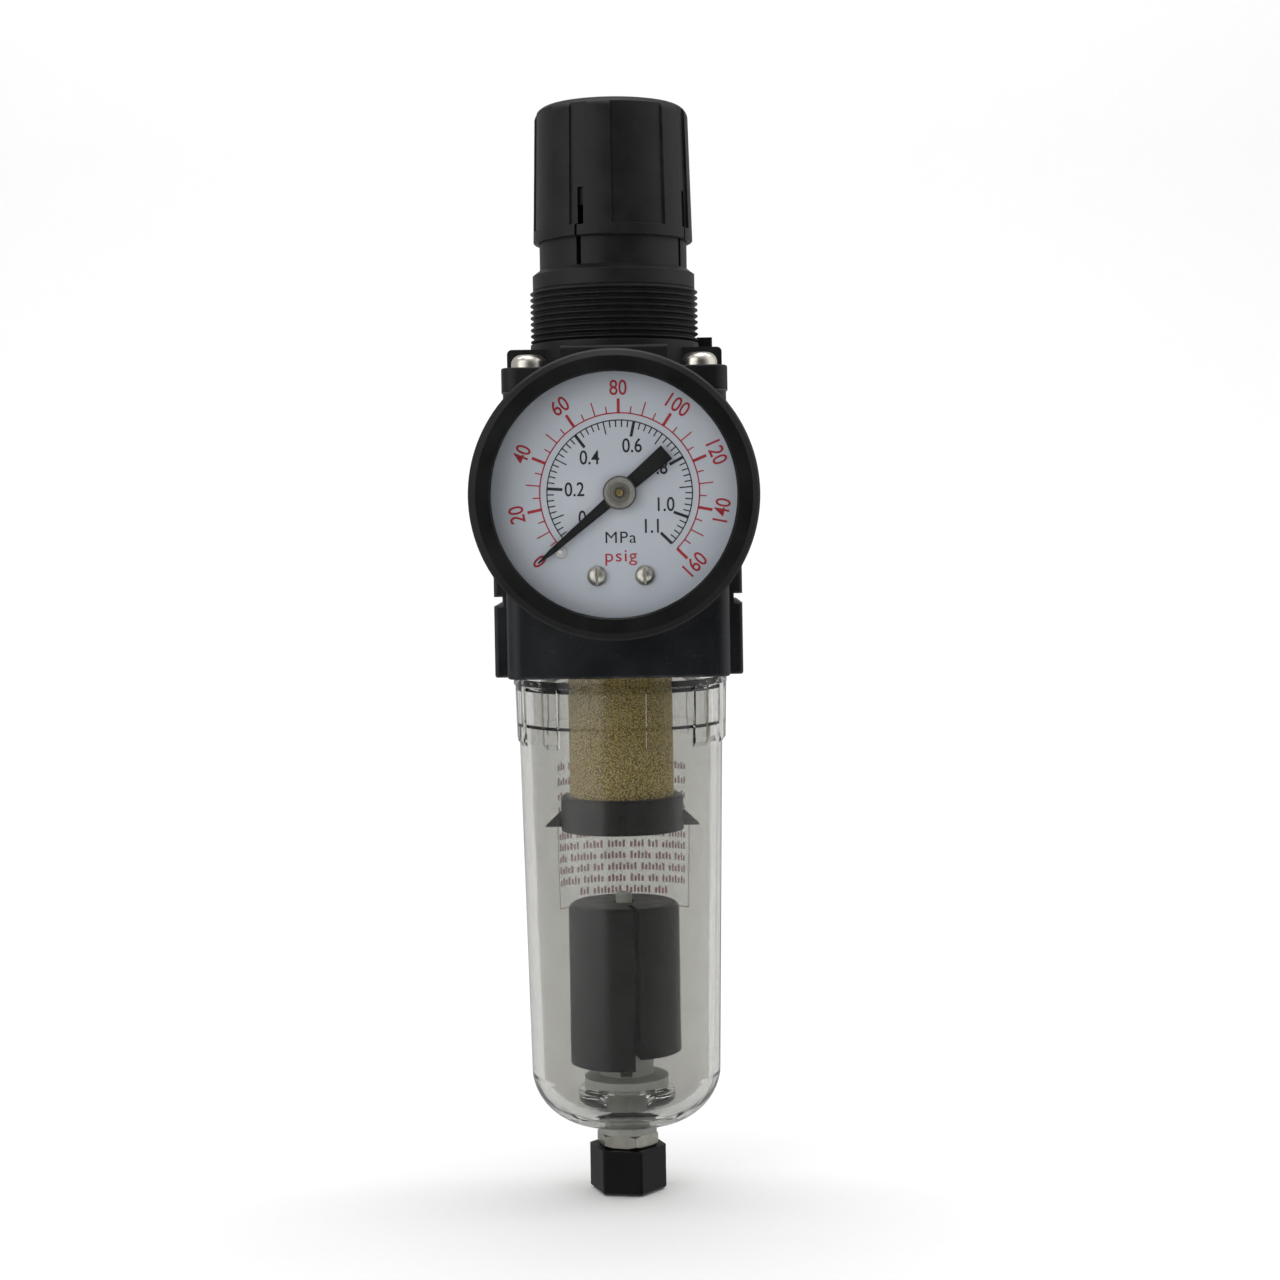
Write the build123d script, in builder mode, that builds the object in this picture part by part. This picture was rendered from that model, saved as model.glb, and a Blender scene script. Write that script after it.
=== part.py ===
"""Miniature compressed air filter-regulator with gauge and float drain, millimetres.

Frame: origin on the vertical axis, on the bonnet's panel seat. +Z up, the gauge faces -Y,
air flows from -X to +X.
"""

import os
from math import atan2, cos, degrees, radians, sin

from build123d import *

os.makedirs("parts", exist_ok=True)

# ---------------------------------------------------------------- driving dimensions
FLANGE_HALF = 18.2          # bonnet flange, half width
SEAT_HALF = 17.6            # cross-shaped panel seat, half width
SEAT_ARM = 17.2             # width of each arm of the cross
LEDGE_Z = -3.5              # where the four bonnet screws seat
BODY_TOP = -7.5
BODY_BOTTOM = -53.5
BODY_HALF_X = 17.9
BODY_HALF_Y = 19.2
PAD_HALF_X = 20.2           # flat port faces
PAD_HALF_Y = 13.0
PAD_TOP = -14.5
PORT_Z = -29.0              # inlet and outlet axis
GAUGE_Z = -24.5             # gauge axis
SCREW_PITCH = 13.8          # bonnet screws at +-13.8, +-13.8

THREAD_R = 14.0             # M28 x 1 panel thread
THREAD_PITCH = 1.0
THREAD_DEPTH = 0.6
THREAD_BOTTOM = 1.2
THREAD_TURNS = 9
NOSE_R = 13.53
NOSE_TOP = 12.7
NECK_R = 12.3
NECK_FOOT = 13.5
NECK_STEP = 18.6
COLLAR_R = 11.3             # top of the neck, inside the knob
COLLAR_TOP = 23.5
SLOT_ANGLE = -116.5         # the first of four lock slots, from +X
SLOT_WIDTH = 0.8

KNOB_BOTTOM = 18.1
KNOB_TOP = 40.7
KNOB_R = 13.3
SHOULDER_R = 12.8           # top of the knob's grip
SHOULDER_DROP = 1.9         # from the knob's top to its shoulder
PANEL_START = -90.3         # first of four wide grip panels, from +X
PANEL_WIDTH = 41.4          # degrees
GROOVE_START = -121.5
GROOVE_WIDTH = 13.6
WINDOW_ANGLE = -113.5       # first of four slots that open the grooves
WINDOW_WIDTH = 1.0
LOCK_TRAVEL = 4.3

CAVITY_R = 11.0             # spring chamber in the bonnet
WEB_BOTTOM = 12.3
WEB_TOP = 16.0
JOURNAL_R = 3.65

CHAMBER_FLOOR = -18.5       # outlet chamber under the diaphragm
VALVE_SEAT_Z = -22.0
VALVE_BORE_R = 5.4
COLUMN_R = 7.6
COLUMN_BOTTOM = -42.4
ANNULUS_R = 13.5
ANNULUS_TOP = -38.0
BOWL_BORE_R = 15.9
BOWL_STEP = -46.0
PORT_R = 6.0
PORT_DEPTH = 8.0
PASSAGE_X = 10.4
PASSAGE_R = 3.0
GAUGE_PORT_R = 4.4
GAUGE_PORT_DEPTH = 8.5

BOWL_RING_R = 17.9
BOWL_WALL_R = 17.2
BOWL_FOOT_R = 15.85
BOWL_RING_BOTTOM = -55.3
RIB_BOTTOM = -65.4
RIB_COUNT = 12
RIB_WIDTH = 10.6            # degrees
RIB_START = -100.6          # centre of the first rib, from +X
BOWL_DOME_TOP = -121.0
BOWL_BOTTOM = -129.2
BOWL_FLOOR = -123.6         # boss that the drain sits on

ELEMENT_R = 8.75
ELEMENT_BORE_R = 5.6
ELEMENT_TOP = -46.5
ELEMENT_BOTTOM = -74.3
BAFFLE_R = 10.3
BAFFLE_BOTTOM = -80.0
FIN_R = 12.9

FLOAT_R = 9.33
FLOAT_TOP = -92.3
FLOAT_BOTTOM = -119.1
FLOAT_BORE_R = 5.0
FLOAT_ROOF = 1.4            # thickness of the float's top
GUIDE_R = 4.6
GUIDE_TOP = FLOAT_TOP - FLOAT_ROOF - 0.4
PIN_R = 1.35                # on top of the guide, through the float's top
PIN_TOP = -90.7
TUBE_R = 3.6
NUT_TOP = -131.1
NUT_BOTTOM = -133.2
DRAIN_KNOB_TOP = -133.4
DRAIN_KNOB_BOTTOM = -140.8
DRAIN_KNOB_FLATS = 11.35

CASE_R = 20.0
BEZEL_R = 21.5
CASE_BACK = 24.0            # distances in front of the vertical axis
CASE_FRONT = 46.5
BEZEL_FRONT = 49.3
DIAL_FRONT = 44.5
DIAL_R = 19.0
ARBOR_X = 0.8               # the pointer's axis, a little off the bezel's centre
ARBOR_Z = GAUGE_Z + 0.3
POINTER_REST = 220.0        # degrees from +X, seen from the front
POINTER_TIP = 16.0
MODULE = 0.35               # gauge movement gears
ADDENDUM = 0.30
DEDENDUM = 0.42
TOOTH_FILL = 0.40           # share of the pitch that a tooth fills
PINION_TEETH = 8
SECTOR_TEETH = 64           # of a full circle; the sector has eleven of them
PIVOT_Z = ARBOR_Z - MODULE * (PINION_TEETH + SECTOR_TEETH) / 2
SECTOR_REST = 90 - 3.5 * 360 / SECTOR_TEETH
ARBOR_R = 0.5
LINK_PIN_R = 0.4
TAIL_REACH = 4.0
TAIL_ANGLE = -20.0
TAIL_X = ARBOR_X + TAIL_REACH * cos(radians(TAIL_ANGLE))
TAIL_Z = PIVOT_Z + TAIL_REACH * sin(radians(TAIL_ANGLE))
TIP_R = 13.4                # bourdon tube, to the middle of its wall
TIP_ANGLE = -20.0
TUBE_START = 262.9          # where its root meets the socket's leg
TIP_X = TIP_R * cos(radians(TIP_ANGLE))
TIP_Z = GAUGE_Z + TIP_R * sin(radians(TIP_ANGLE))


# ---------------------------------------------------------------- planes and small helpers
def upright(angle):
    """Plane through the vertical axis: local x is the radius at this angle, local y is Z."""
    direction = radians(angle)
    return Plane(
        origin=(0, 0, 0),
        x_dir=(cos(direction), sin(direction), 0),
        z_dir=(sin(direction), -cos(direction), 0),
    )


def facing(distance, x=0.0, z=GAUGE_Z):
    """Plane facing the front, this far in front of the vertical axis."""
    return Plane(origin=(x, -distance, z), x_dir=(1, 0, 0), z_dir=(0, -1, 0))


def gauge_section(x=0.0, z=GAUGE_Z):
    """Plane for turned gauge parts: local x is the radius, local y the distance in front."""
    return Plane(origin=(x, 0, z), x_dir=(1, 0, 0), z_dir=(0, 0, -1))


def gauge_axis(x=0.0, z=GAUGE_Z):
    return Axis((x, 0, z), (0, 1, 0))


def turned(points):
    """Solid of revolution about the vertical axis from (radius, z) points."""
    with BuildPart() as shape:
        with BuildSketch(Plane.XZ):
            with BuildLine():
                Polyline(*points, close=True)
            make_face()
        revolve(axis=Axis.Z)
    return shape.part


def gauge_turned(points, x=0.0, z=GAUGE_Z):
    """Solid of revolution about a gauge axis from (radius, distance in front) points."""
    with BuildPart() as shape:
        with BuildSketch(gauge_section(x, z)):
            with BuildLine():
                Polyline(*points, close=True)
            make_face()
        revolve(axis=gauge_axis(x, z))
    return shape.part


def ring(outer, inner, low, high):
    """Flat ring about the vertical axis."""
    return turned([(inner, low), (outer, low), (outer, high), (inner, high)])


def o_ring(radius, section, z):
    with BuildPart() as shape:
        with BuildSketch(Plane.XZ):
            with Locations((radius, z)):
                Circle(section)
        revolve(axis=Axis.Z)
    return shape.part


def coil_spring(radius, wire, low, high, turns):
    """Round-wire compression spring whose wire stays between two heights."""
    height = high - low - 2 * wire
    with BuildPart() as shape:
        with BuildLine(Plane.XY.offset(low + wire)) as coil:
            Helix(pitch=height / turns, height=height, radius=radius)
        with BuildSketch(Plane(origin=coil.line @ 0, z_dir=coil.line % 0)):
            Circle(wire)
        sweep(is_frenet=True)
    return shape.part


def swung(points, angle):
    """Points turned about the origin, in degrees counter-clockwise."""
    turn = radians(angle)
    return [(x * cos(turn) - y * sin(turn), x * sin(turn) + y * cos(turn)) for x, y in points]


def gear_points(teeth, first, last):
    """Outline points of straight-sided teeth from tooth number first to last."""
    pitch_r = MODULE * teeth / 2
    half_pitch = 180 / teeth * TOOTH_FILL
    lean = degrees(0.36 * ADDENDUM / pitch_r)
    half_tip = half_pitch - lean
    half_root = half_pitch + lean * DEDENDUM / ADDENDUM
    tooth = [
        (pitch_r - DEDENDUM, -half_root),
        (pitch_r + ADDENDUM, -half_tip),
        (pitch_r + ADDENDUM, half_tip),
        (pitch_r - DEDENDUM, half_root),
    ]
    points = []
    for number in range(first, last + 1):
        for radius, offset in tooth:
            points += swung([(radius, 0)], number * 360 / teeth + offset)
    return points


# ================================================================ regulator
# ---------------------------------------------------------------- knob
def knob_radius(z):
    """The knob flares evenly from its shoulder to its skirt."""
    shoulder = KNOB_TOP - SHOULDER_DROP
    return SHOULDER_R + (KNOB_R - SHOULDER_R) * (shoulder - z) / (shoulder - KNOB_BOTTOM)


with BuildPart() as knob:
    with BuildSketch(Plane.XZ):
        with BuildLine():
            Polyline(
                (0, KNOB_TOP - 0.5),
                (8.6, KNOB_TOP - 0.5),
                (9.1, KNOB_TOP),
                (10.6, KNOB_TOP),
            )
            ThreePointArc(
                (10.6, KNOB_TOP),
                (12.1, KNOB_TOP - 0.6),
                (SHOULDER_R, KNOB_TOP - SHOULDER_DROP),
            )
            Polyline(
                (SHOULDER_R, KNOB_TOP - SHOULDER_DROP),
                (KNOB_R, KNOB_BOTTOM + 0.2),
                (KNOB_R - 0.2, KNOB_BOTTOM),
                (NECK_R + 0.1, KNOB_BOTTOM),
                (NECK_R + 0.1, NECK_STEP + LOCK_TRAVEL + 0.3),
                (COLLAR_R + 0.1, NECK_STEP + LOCK_TRAVEL + 0.3),
                (COLLAR_R + 0.1, 36.8),
                (9.6, 38.6),
                (6.2, 38.6),
                (6.2, 24.6),
                (0, 24.6),
                (0, KNOB_TOP - 0.5),
            )
        make_face()
    revolve(axis=Axis.Z)
    # square-cornered grip: four wide panels and four narrow grooves between eight ribs
    for quarter in range(4):
        for start, width in ((PANEL_START, PANEL_WIDTH), (GROOVE_START, GROOVE_WIDTH)):
            with BuildSketch(upright(start + 90 * quarter)):
                with BuildLine():
                    Polyline(
                        (knob_radius(20.0) - 0.42, 20.0),
                        (15, 19.8),
                        (15, 42),
                        (12.35, 42),
                        close=True,
                    )
                make_face()
            revolve(axis=Axis.Z, revolution_arc=width, mode=Mode.SUBTRACT)
        with BuildSketch(upright(WINDOW_ANGLE + 90 * quarter)):
            with Locations((13.0, 22.95)):
                Rectangle(2.2, 6.1)
        extrude(amount=WINDOW_WIDTH / 2, both=True, mode=Mode.SUBTRACT)
        spoke = SLOT_ANGLE + 90 * quarter
        with BuildSketch(upright(spoke)):
            with Locations((13.0, 19.0)):
                Rectangle(2.2, 2.2)
        extrude(amount=0.2, both=True, mode=Mode.SUBTRACT)
        # lock rib, drops into the collar's slot when the knob is pushed down
        with BuildSketch(upright(spoke)):
            with Locations((10.85, 29.6)):
                Rectangle(1.5, 11)
        extrude(amount=0.3, both=True)
    with BuildSketch(Plane.XY.offset(24.6)):
        RegularPolygon(3.3, 6, major_radius=False)
    extrude(amount=12.4, mode=Mode.SUBTRACT)
knob.part.label = "knob"
export_step(knob.part, "parts/knob.step")

# ---------------------------------------------------------------- bonnet
with BuildPart() as bonnet:
    with BuildSketch(Plane.XY.offset(BODY_TOP)):
        RectangleRounded(2 * FLANGE_HALF, 2 * FLANGE_HALF, 2.6)
    extrude(amount=LEDGE_Z - BODY_TOP)
    fillet(bonnet.faces().sort_by(Axis.Z)[-1].edges(), 0.35)
    with BuildSketch(Plane.XY.offset(LEDGE_Z)) as cross:
        Rectangle(2 * SEAT_HALF, SEAT_ARM)
        Rectangle(SEAT_ARM, 2 * SEAT_HALF)
    extrude(amount=-LEDGE_Z)
    ends = bonnet.faces().sort_by(Axis.Z)[-1].edges()
    fillet([edge for edge in ends if max(abs(edge.center().X), abs(edge.center().Y)) > 17], 0.8)
    # panel thread, plain nose and slotted neck
    crests = []
    for turn in range(THREAD_TURNS):
        foot = THREAD_BOTTOM + turn * THREAD_PITCH
        crests += [
            (THREAD_R - THREAD_DEPTH, foot + 0.1),
            (THREAD_R, foot + 0.48),
            (THREAD_R, foot + 0.62),
            (THREAD_R - THREAD_DEPTH, foot + 1.0),
        ]
    with BuildSketch(Plane.XZ):
        with BuildLine():
            Polyline(
                (0, LEDGE_Z),
                (THREAD_R + 0.05, LEDGE_Z),
                (THREAD_R + 0.05, THREAD_BOTTOM),
                *crests,
                (NOSE_R, THREAD_BOTTOM + THREAD_TURNS * THREAD_PITCH + 0.15),
                (NOSE_R, NOSE_TOP),
                (NECK_R + 0.15, NECK_FOOT),
                (NECK_R, NECK_FOOT + 0.1),
                (NECK_R, NECK_STEP),
                (COLLAR_R, NECK_STEP),
                (COLLAR_R, COLLAR_TOP - 0.3),
                (COLLAR_R - 0.3, COLLAR_TOP),
                (0, COLLAR_TOP),
                close=True,
            )
        make_face()
    revolve(axis=Axis.Z)
    with BuildSketch(Plane.XY.offset(BODY_TOP)):
        Circle(CAVITY_R)
    extrude(amount=WEB_BOTTOM - BODY_TOP, mode=Mode.SUBTRACT)
    with BuildSketch(Plane.XY.offset(WEB_TOP)):
        Circle(9.6)
    extrude(amount=COLLAR_TOP - WEB_TOP, mode=Mode.SUBTRACT)
    with BuildSketch(Plane.XY.offset(WEB_BOTTOM)):
        Circle(JOURNAL_R)
    extrude(amount=WEB_TOP - WEB_BOTTOM, mode=Mode.SUBTRACT)
    # two keys that stop the spring nut from turning
    with BuildSketch(Plane.XY.offset(-4)):
        with Locations((0, CAVITY_R - 0.7), (0, 0.7 - CAVITY_R)):
            Rectangle(1.6, 1.6)
    extrude(amount=WEB_BOTTOM + 4)
    for quarter in range(4):
        with BuildSketch(upright(SLOT_ANGLE + 90 * quarter)):
            with Locations((11.2, (NECK_FOOT + COLLAR_TOP) / 2 + 0.2)):
                Rectangle(3.3, COLLAR_TOP - NECK_FOOT + 0.2)
        extrude(amount=SLOT_WIDTH / 2, both=True, mode=Mode.SUBTRACT)
    with Locations(Plane.XY.offset(LEDGE_Z)):
        with GridLocations(2 * SCREW_PITCH, 2 * SCREW_PITCH, 2, 2):
            Hole(1.7)
    # locating lug on the seat, and the relief vent at the back
    with BuildSketch(Plane.XY):
        with Locations((15.2, 6.0)):
            RectangleRounded(2.6, 3.0, 0.3)
    extrude(amount=2.6)
    with BuildSketch(Plane.XZ.offset(-FLANGE_HALF)):
        with Locations((0, -5.5)):
            Circle(0.8)
    extrude(amount=FLANGE_HALF - CAVITY_R + 1, mode=Mode.SUBTRACT)
bonnet.part.label = "bonnet"
export_step(bonnet.part, "parts/bonnet.step")

# ---------------------------------------------------------------- bonnet screws
def pan_head_screw():
    """M3 cross-recessed screw on the vertical axis, seated on the bonnet's ledge."""
    with BuildPart() as screw:
        with BuildSketch(Plane.XZ):
            with BuildLine():
                Line((0, LEDGE_Z + 2.2), (1.3, LEDGE_Z + 2.2))
                ThreePointArc((1.3, LEDGE_Z + 2.2), (2.4, LEDGE_Z + 1.75), (2.85, LEDGE_Z + 0.7))
                Polyline(
                    (2.85, LEDGE_Z + 0.7),
                    (2.85, LEDGE_Z),
                    (1.45, LEDGE_Z),
                    (1.45, -15.5),
                    (0, -15.5),
                    (0, LEDGE_Z + 2.2),
                )
            make_face()
        revolve(axis=Axis.Z)
        with BuildSketch(Plane.XY.offset(LEDGE_Z + 1.1)):
            Rectangle(2.8, 0.6, rotation=25)
            Rectangle(0.6, 2.8, rotation=25)
        extrude(amount=2, mode=Mode.SUBTRACT)
    return screw.part


with BuildPart() as bonnet_screws:
    with GridLocations(2 * SCREW_PITCH, 2 * SCREW_PITCH, 2, 2):
        add(pan_head_screw())
bonnet_screws.part.label = "bonnet_screws"
export_step(bonnet_screws.part, "parts/bonnet_screws.step")

# ---------------------------------------------------------------- adjusting screw and its clip
with BuildPart() as adjusting_screw:
    with BuildSketch(Plane.XZ):
        with BuildLine():
            Polyline(
                (0, -2.0),
                (3.5, -2.0),
                (4.0, -1.5),
                (4.0, WEB_BOTTOM - 0.1),
                (JOURNAL_R - 0.05, WEB_BOTTOM - 0.1),
                (JOURNAL_R - 0.05, WEB_TOP + 0.15),
                (3.0, WEB_TOP + 0.15),
                (3.0, WEB_TOP + 0.85),
                (3.2, WEB_TOP + 0.85),
                (3.2, 19.0),
                (0, 19.0),
                close=True,
            )
        make_face()
    revolve(axis=Axis.Z)
    with BuildSketch(Plane.XY.offset(19.0)):
        RegularPolygon(3.2, 6, major_radius=False)
    extrude(amount=13.0)
    chamfer(adjusting_screw.faces().sort_by(Axis.Z)[-1].edges(), 0.4)
adjusting_screw.part.label = "adjusting_screw"
export_step(adjusting_screw.part, "parts/adjusting_screw.step")

with BuildPart() as screw_clip:
    add(ring(5.6, 3.0, WEB_TOP + 0.15, WEB_TOP + 0.85))
    with BuildSketch(Plane.XY.offset(WEB_TOP)):
        with Locations((4, 0)):
            Rectangle(5, 3.6)
    extrude(amount=2, mode=Mode.SUBTRACT)
screw_clip.part.label = "screw_clip"
export_step(screw_clip.part, "parts/screw_clip.step")

# ---------------------------------------------------------------- spring nut and regulating spring
with BuildPart() as spring_nut:
    add(
        turned(
            [
                (4.05, 5.0),
                (5.3, 5.0),
                (5.7, 5.6),
                (5.7, 8.2),
                (10.6, 8.2),
                (10.6, WEB_BOTTOM - 0.3),
                (4.05, WEB_BOTTOM - 0.3),
            ]
        )
    )
    with BuildSketch(Plane.XY.offset(5.0)):
        with Locations((0, 10.4), (0, -10.4)):
            Rectangle(2.0, 2.8)
    extrude(amount=8, mode=Mode.SUBTRACT)
spring_nut.part.label = "spring_nut"
export_step(spring_nut.part, "parts/spring_nut.step")

with BuildPart() as regulating_spring:
    add(coil_spring(radius=7.1, wire=0.9, low=-5.95, high=8.15, turns=4.5))
regulating_spring.part.label = "regulating_spring"
export_step(regulating_spring.part, "parts/regulating_spring.step")

# ---------------------------------------------------------------- diaphragm and its hardware
with BuildPart() as diaphragm:
    add(ring(15.7, 2.2, BODY_TOP - 0.95, BODY_TOP - 0.05))
diaphragm.part.label = "diaphragm"
export_step(diaphragm.part, "parts/diaphragm.step")

with BuildPart() as diaphragm_plate:
    add(turned([(2.1, -7.5), (9.6, -7.5), (9.6, -6.0), (5.4, -6.0), (5.0, -4.2), (2.1, -4.2)]))
diaphragm_plate.part.label = "diaphragm_plate"
export_step(diaphragm_plate.part, "parts/diaphragm_plate.step")

with BuildPart() as relief_seat:
    add(
        turned(
            [
                (0.5, -10.0),
                (3.8, -10.0),
                (4.5, -9.4),
                (4.5, -8.5),
                (2.05, -8.5),
                (2.05, -4.0),
                (1.0, -4.0),
                (1.0, -9.0),
                (0.5, -9.0),
            ]
        )
    )
relief_seat.part.label = "relief_seat"
export_step(relief_seat.part, "parts/relief_seat.step")

# ---------------------------------------------------------------- valve
with BuildPart() as valve_stem:
    add(
        turned(
            [
                (0, -10.15),
                (0.6, -10.15),
                (0.9, -10.6),
                (0.9, VALVE_SEAT_Z - 1.1),
                (3.7, VALVE_SEAT_Z - 1.1),
                (3.7, VALVE_SEAT_Z - 2.6),
                (1.5, VALVE_SEAT_Z - 2.6),
                (1.5, -36.0),
                (1.2, -36.3),
                (0, -36.3),
            ]
        )
    )
valve_stem.part.label = "valve_stem"
export_step(valve_stem.part, "parts/valve_stem.step")

with BuildPart() as valve_disc:
    add(ring(3.9, 0.9, VALVE_SEAT_Z - 1.1, VALVE_SEAT_Z - 0.1))
valve_disc.part.label = "valve_disc"
export_step(valve_disc.part, "parts/valve_disc.step")

with BuildPart() as valve_spring:
    add(coil_spring(radius=2.5, wire=0.3, low=-32.95, high=-24.65, turns=6))
valve_spring.part.label = "valve_spring"
export_step(valve_spring.part, "parts/valve_spring.step")

with BuildPart() as valve_guide:
    add(
        turned(
            [
                (0, ELEMENT_TOP),
                (ELEMENT_R + 0.15, ELEMENT_TOP),
                (ELEMENT_R + 0.15, -43.0),
                (VALVE_BORE_R - 0.05, -43.0),
                (VALVE_BORE_R - 0.05, -33.0),
                (0, -33.0),
            ]
        )
    )
    with Locations((0, 0, -33.0)):
        Hole(1.6, depth=6.0)
    with BuildSketch(Plane.XY.offset(ELEMENT_TOP)):
        Circle(2.4)
    extrude(amount=5.5, mode=Mode.SUBTRACT)
    with BuildSketch(Plane.XY.offset(ELEMENT_TOP)):
        with PolarLocations(4.0, 6):
            Circle(1.0)
    extrude(amount=13.5, mode=Mode.SUBTRACT)
valve_guide.part.label = "valve_guide"
export_step(valve_guide.part, "parts/valve_guide.step")

with BuildPart() as guide_gasket:
    add(ring(COLUMN_R, VALVE_BORE_R, -43.0, COLUMN_BOTTOM))
guide_gasket.part.label = "guide_gasket"
export_step(guide_gasket.part, "parts/guide_gasket.step")

# ---------------------------------------------------------------- body casting
with BuildPart() as body:
    with BuildSketch(Plane.XY.offset(BODY_BOTTOM)):
        RectangleRounded(2 * BODY_HALF_X, 2 * BODY_HALF_Y, 2.3)
    extrude(amount=BODY_TOP - BODY_BOTTOM)
    with BuildSketch(Plane.XY.offset(BODY_BOTTOM)):
        RectangleRounded(2 * PAD_HALF_X, 2 * PAD_HALF_Y, 0.6)
    extrude(amount=PAD_TOP - BODY_BOTTOM)
    fillet(body.faces().sort_by(Axis.Z)[0].edges(), 0.4)
    pad_tops = body.faces().filter_by(Axis.Z).group_by(Axis.Z)[-2].edges()
    fillet([edge for edge in pad_tops if abs(edge.center().X) > 20.1], 0.6)
    # locking grooves across both port faces
    for side in (-1, 1):
        with BuildSketch(Plane.XZ.offset(-PAD_HALF_Y)):
            with Locations((side * PAD_HALF_X, -41.1)):
                Rectangle(2.8, 1.5)
        extrude(amount=2 * PAD_HALF_Y, mode=Mode.SUBTRACT)
    # diaphragm recess, outlet chamber and valve bore from the top
    with BuildSketch(Plane.XY.offset(BODY_TOP - 1.0)):
        Circle(15.8)
    extrude(amount=1.0, mode=Mode.SUBTRACT)
    with BuildSketch(Plane.XY.offset(CHAMBER_FLOOR)):
        Circle(12.5)
    extrude(amount=BODY_TOP - CHAMBER_FLOOR, mode=Mode.SUBTRACT)
    with BuildSketch(Plane.XY.offset(VALVE_SEAT_Z)):
        Circle(2.6)
    extrude(amount=CHAMBER_FLOOR - VALVE_SEAT_Z, mode=Mode.SUBTRACT)
    # bowl bore, inlet annulus and valve chamber from below
    with BuildSketch(Plane.XY.offset(BODY_BOTTOM)):
        Circle(BOWL_BORE_R)
    extrude(amount=BOWL_STEP - BODY_BOTTOM, mode=Mode.SUBTRACT)
    with BuildSketch(Plane.XY.offset(COLUMN_BOTTOM)):
        Circle(ANNULUS_R)
        Circle(COLUMN_R, mode=Mode.SUBTRACT)
    extrude(amount=ANNULUS_TOP - COLUMN_BOTTOM, mode=Mode.SUBTRACT)
    with BuildSketch(Plane.XY.offset(BOWL_STEP)):
        Circle(ANNULUS_R)
    extrude(amount=COLUMN_BOTTOM - BOWL_STEP, mode=Mode.SUBTRACT)
    with BuildSketch(Plane.XY.offset(COLUMN_BOTTOM)):
        Circle(VALVE_BORE_R)
    extrude(amount=VALVE_SEAT_Z - COLUMN_BOTTOM, mode=Mode.SUBTRACT)
    # side ports, each with a chamfered mouth, and their passages
    for side in (-1, 1):
        mouth = Plane(origin=(side * PAD_HALF_X, 0, PORT_Z), z_dir=(-side, 0, 0))
        with BuildSketch(mouth):
            Circle(PORT_R)
        extrude(amount=PORT_DEPTH, mode=Mode.SUBTRACT)
        with BuildSketch(mouth):
            Circle(PORT_R + 0.85)
        extrude(amount=0.85, taper=45, mode=Mode.SUBTRACT)
        with BuildSketch(mouth.offset(PORT_DEPTH)):
            Circle(PASSAGE_R + 0.4)
        extrude(amount=3.2, mode=Mode.SUBTRACT)
    with BuildSketch(Plane.XY.offset(PORT_Z)):
        with Locations((PASSAGE_X, 0)):
            Circle(PASSAGE_R)
    extrude(amount=CHAMBER_FLOOR - PORT_Z, mode=Mode.SUBTRACT)
    with BuildSketch(Plane.XY.offset(ANNULUS_TOP)):
        with Locations((-PASSAGE_X, 0)):
            Circle(PASSAGE_R)
    extrude(amount=PORT_Z - ANNULUS_TOP, mode=Mode.SUBTRACT)
    # gauge ports, front and back
    for side in (-1, 1):
        mouth = Plane(origin=(0, side * BODY_HALF_Y, GAUGE_Z), z_dir=(0, -side, 0))
        with BuildSketch(mouth):
            Circle(GAUGE_PORT_R)
        extrude(amount=GAUGE_PORT_DEPTH, mode=Mode.SUBTRACT)
        with BuildSketch(mouth):
            Circle(GAUGE_PORT_R + 0.7)
        extrude(amount=0.7, taper=45, mode=Mode.SUBTRACT)
        with BuildSketch(mouth.offset(GAUGE_PORT_DEPTH)):
            Circle(1.2)
        extrude(amount=1.6, mode=Mode.SUBTRACT)
        with BuildSketch(Plane.XY.offset(GAUGE_Z)):
            with Locations((0, side * 9.9)):
                Circle(1.2)
        extrude(amount=CHAMBER_FLOOR - GAUGE_Z, mode=Mode.SUBTRACT)
    with Locations(Plane.XY.offset(BODY_TOP)):
        with GridLocations(2 * SCREW_PITCH, 2 * SCREW_PITCH, 2, 2):
            Hole(1.5, depth=9.5)
body.part.label = "body"
export_step(body.part, "parts/body.step")

# ---------------------------------------------------------------- plug in the rear gauge port
with BuildPart() as rear_plug:
    with BuildSketch(Plane.XZ.offset(-(BODY_HALF_Y + 0.6))):
        with Locations((0, GAUGE_Z)):
            Circle(GAUGE_PORT_R - 0.02)
    extrude(amount=7.5)
    chamfer(rear_plug.faces().sort_by(Axis.Y)[-1].edges(), 0.3)
    with BuildSketch(Plane.XZ.offset(-(BODY_HALF_Y + 0.6))):
        with Locations((0, GAUGE_Z)):
            RegularPolygon(2.4, 6, major_radius=False)
    extrude(amount=4.0, mode=Mode.SUBTRACT)
rear_plug.part.label = "rear_plug"
export_step(rear_plug.part, "parts/rear_plug.step")

# ================================================================ filter
# ---------------------------------------------------------------- deflector
with BuildPart() as deflector:
    add(ring(15.6, 9.0, BOWL_STEP - 0.9, BOWL_STEP - 0.1))
    with BuildSketch(Plane.XY.offset(BOWL_STEP - 1.0)):
        with PolarLocations(11.3, 8):
            Rectangle(2.9, 3.0)
    extrude(amount=1.2, mode=Mode.SUBTRACT)
    for vane in range(8):
        turn = 45 * vane + 22.5
        with BuildSketch(Plane.XY.offset(BOWL_STEP - 0.8)):
            with PolarLocations(11.2, 1, start_angle=turn):
                Rectangle(3.4, 0.8)
        extrude(amount=4.2, dir=(0.5 * sin(radians(turn)), -0.5 * cos(radians(turn)), -1))
deflector.part.label = "deflector"
export_step(deflector.part, "parts/deflector.step")

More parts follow.
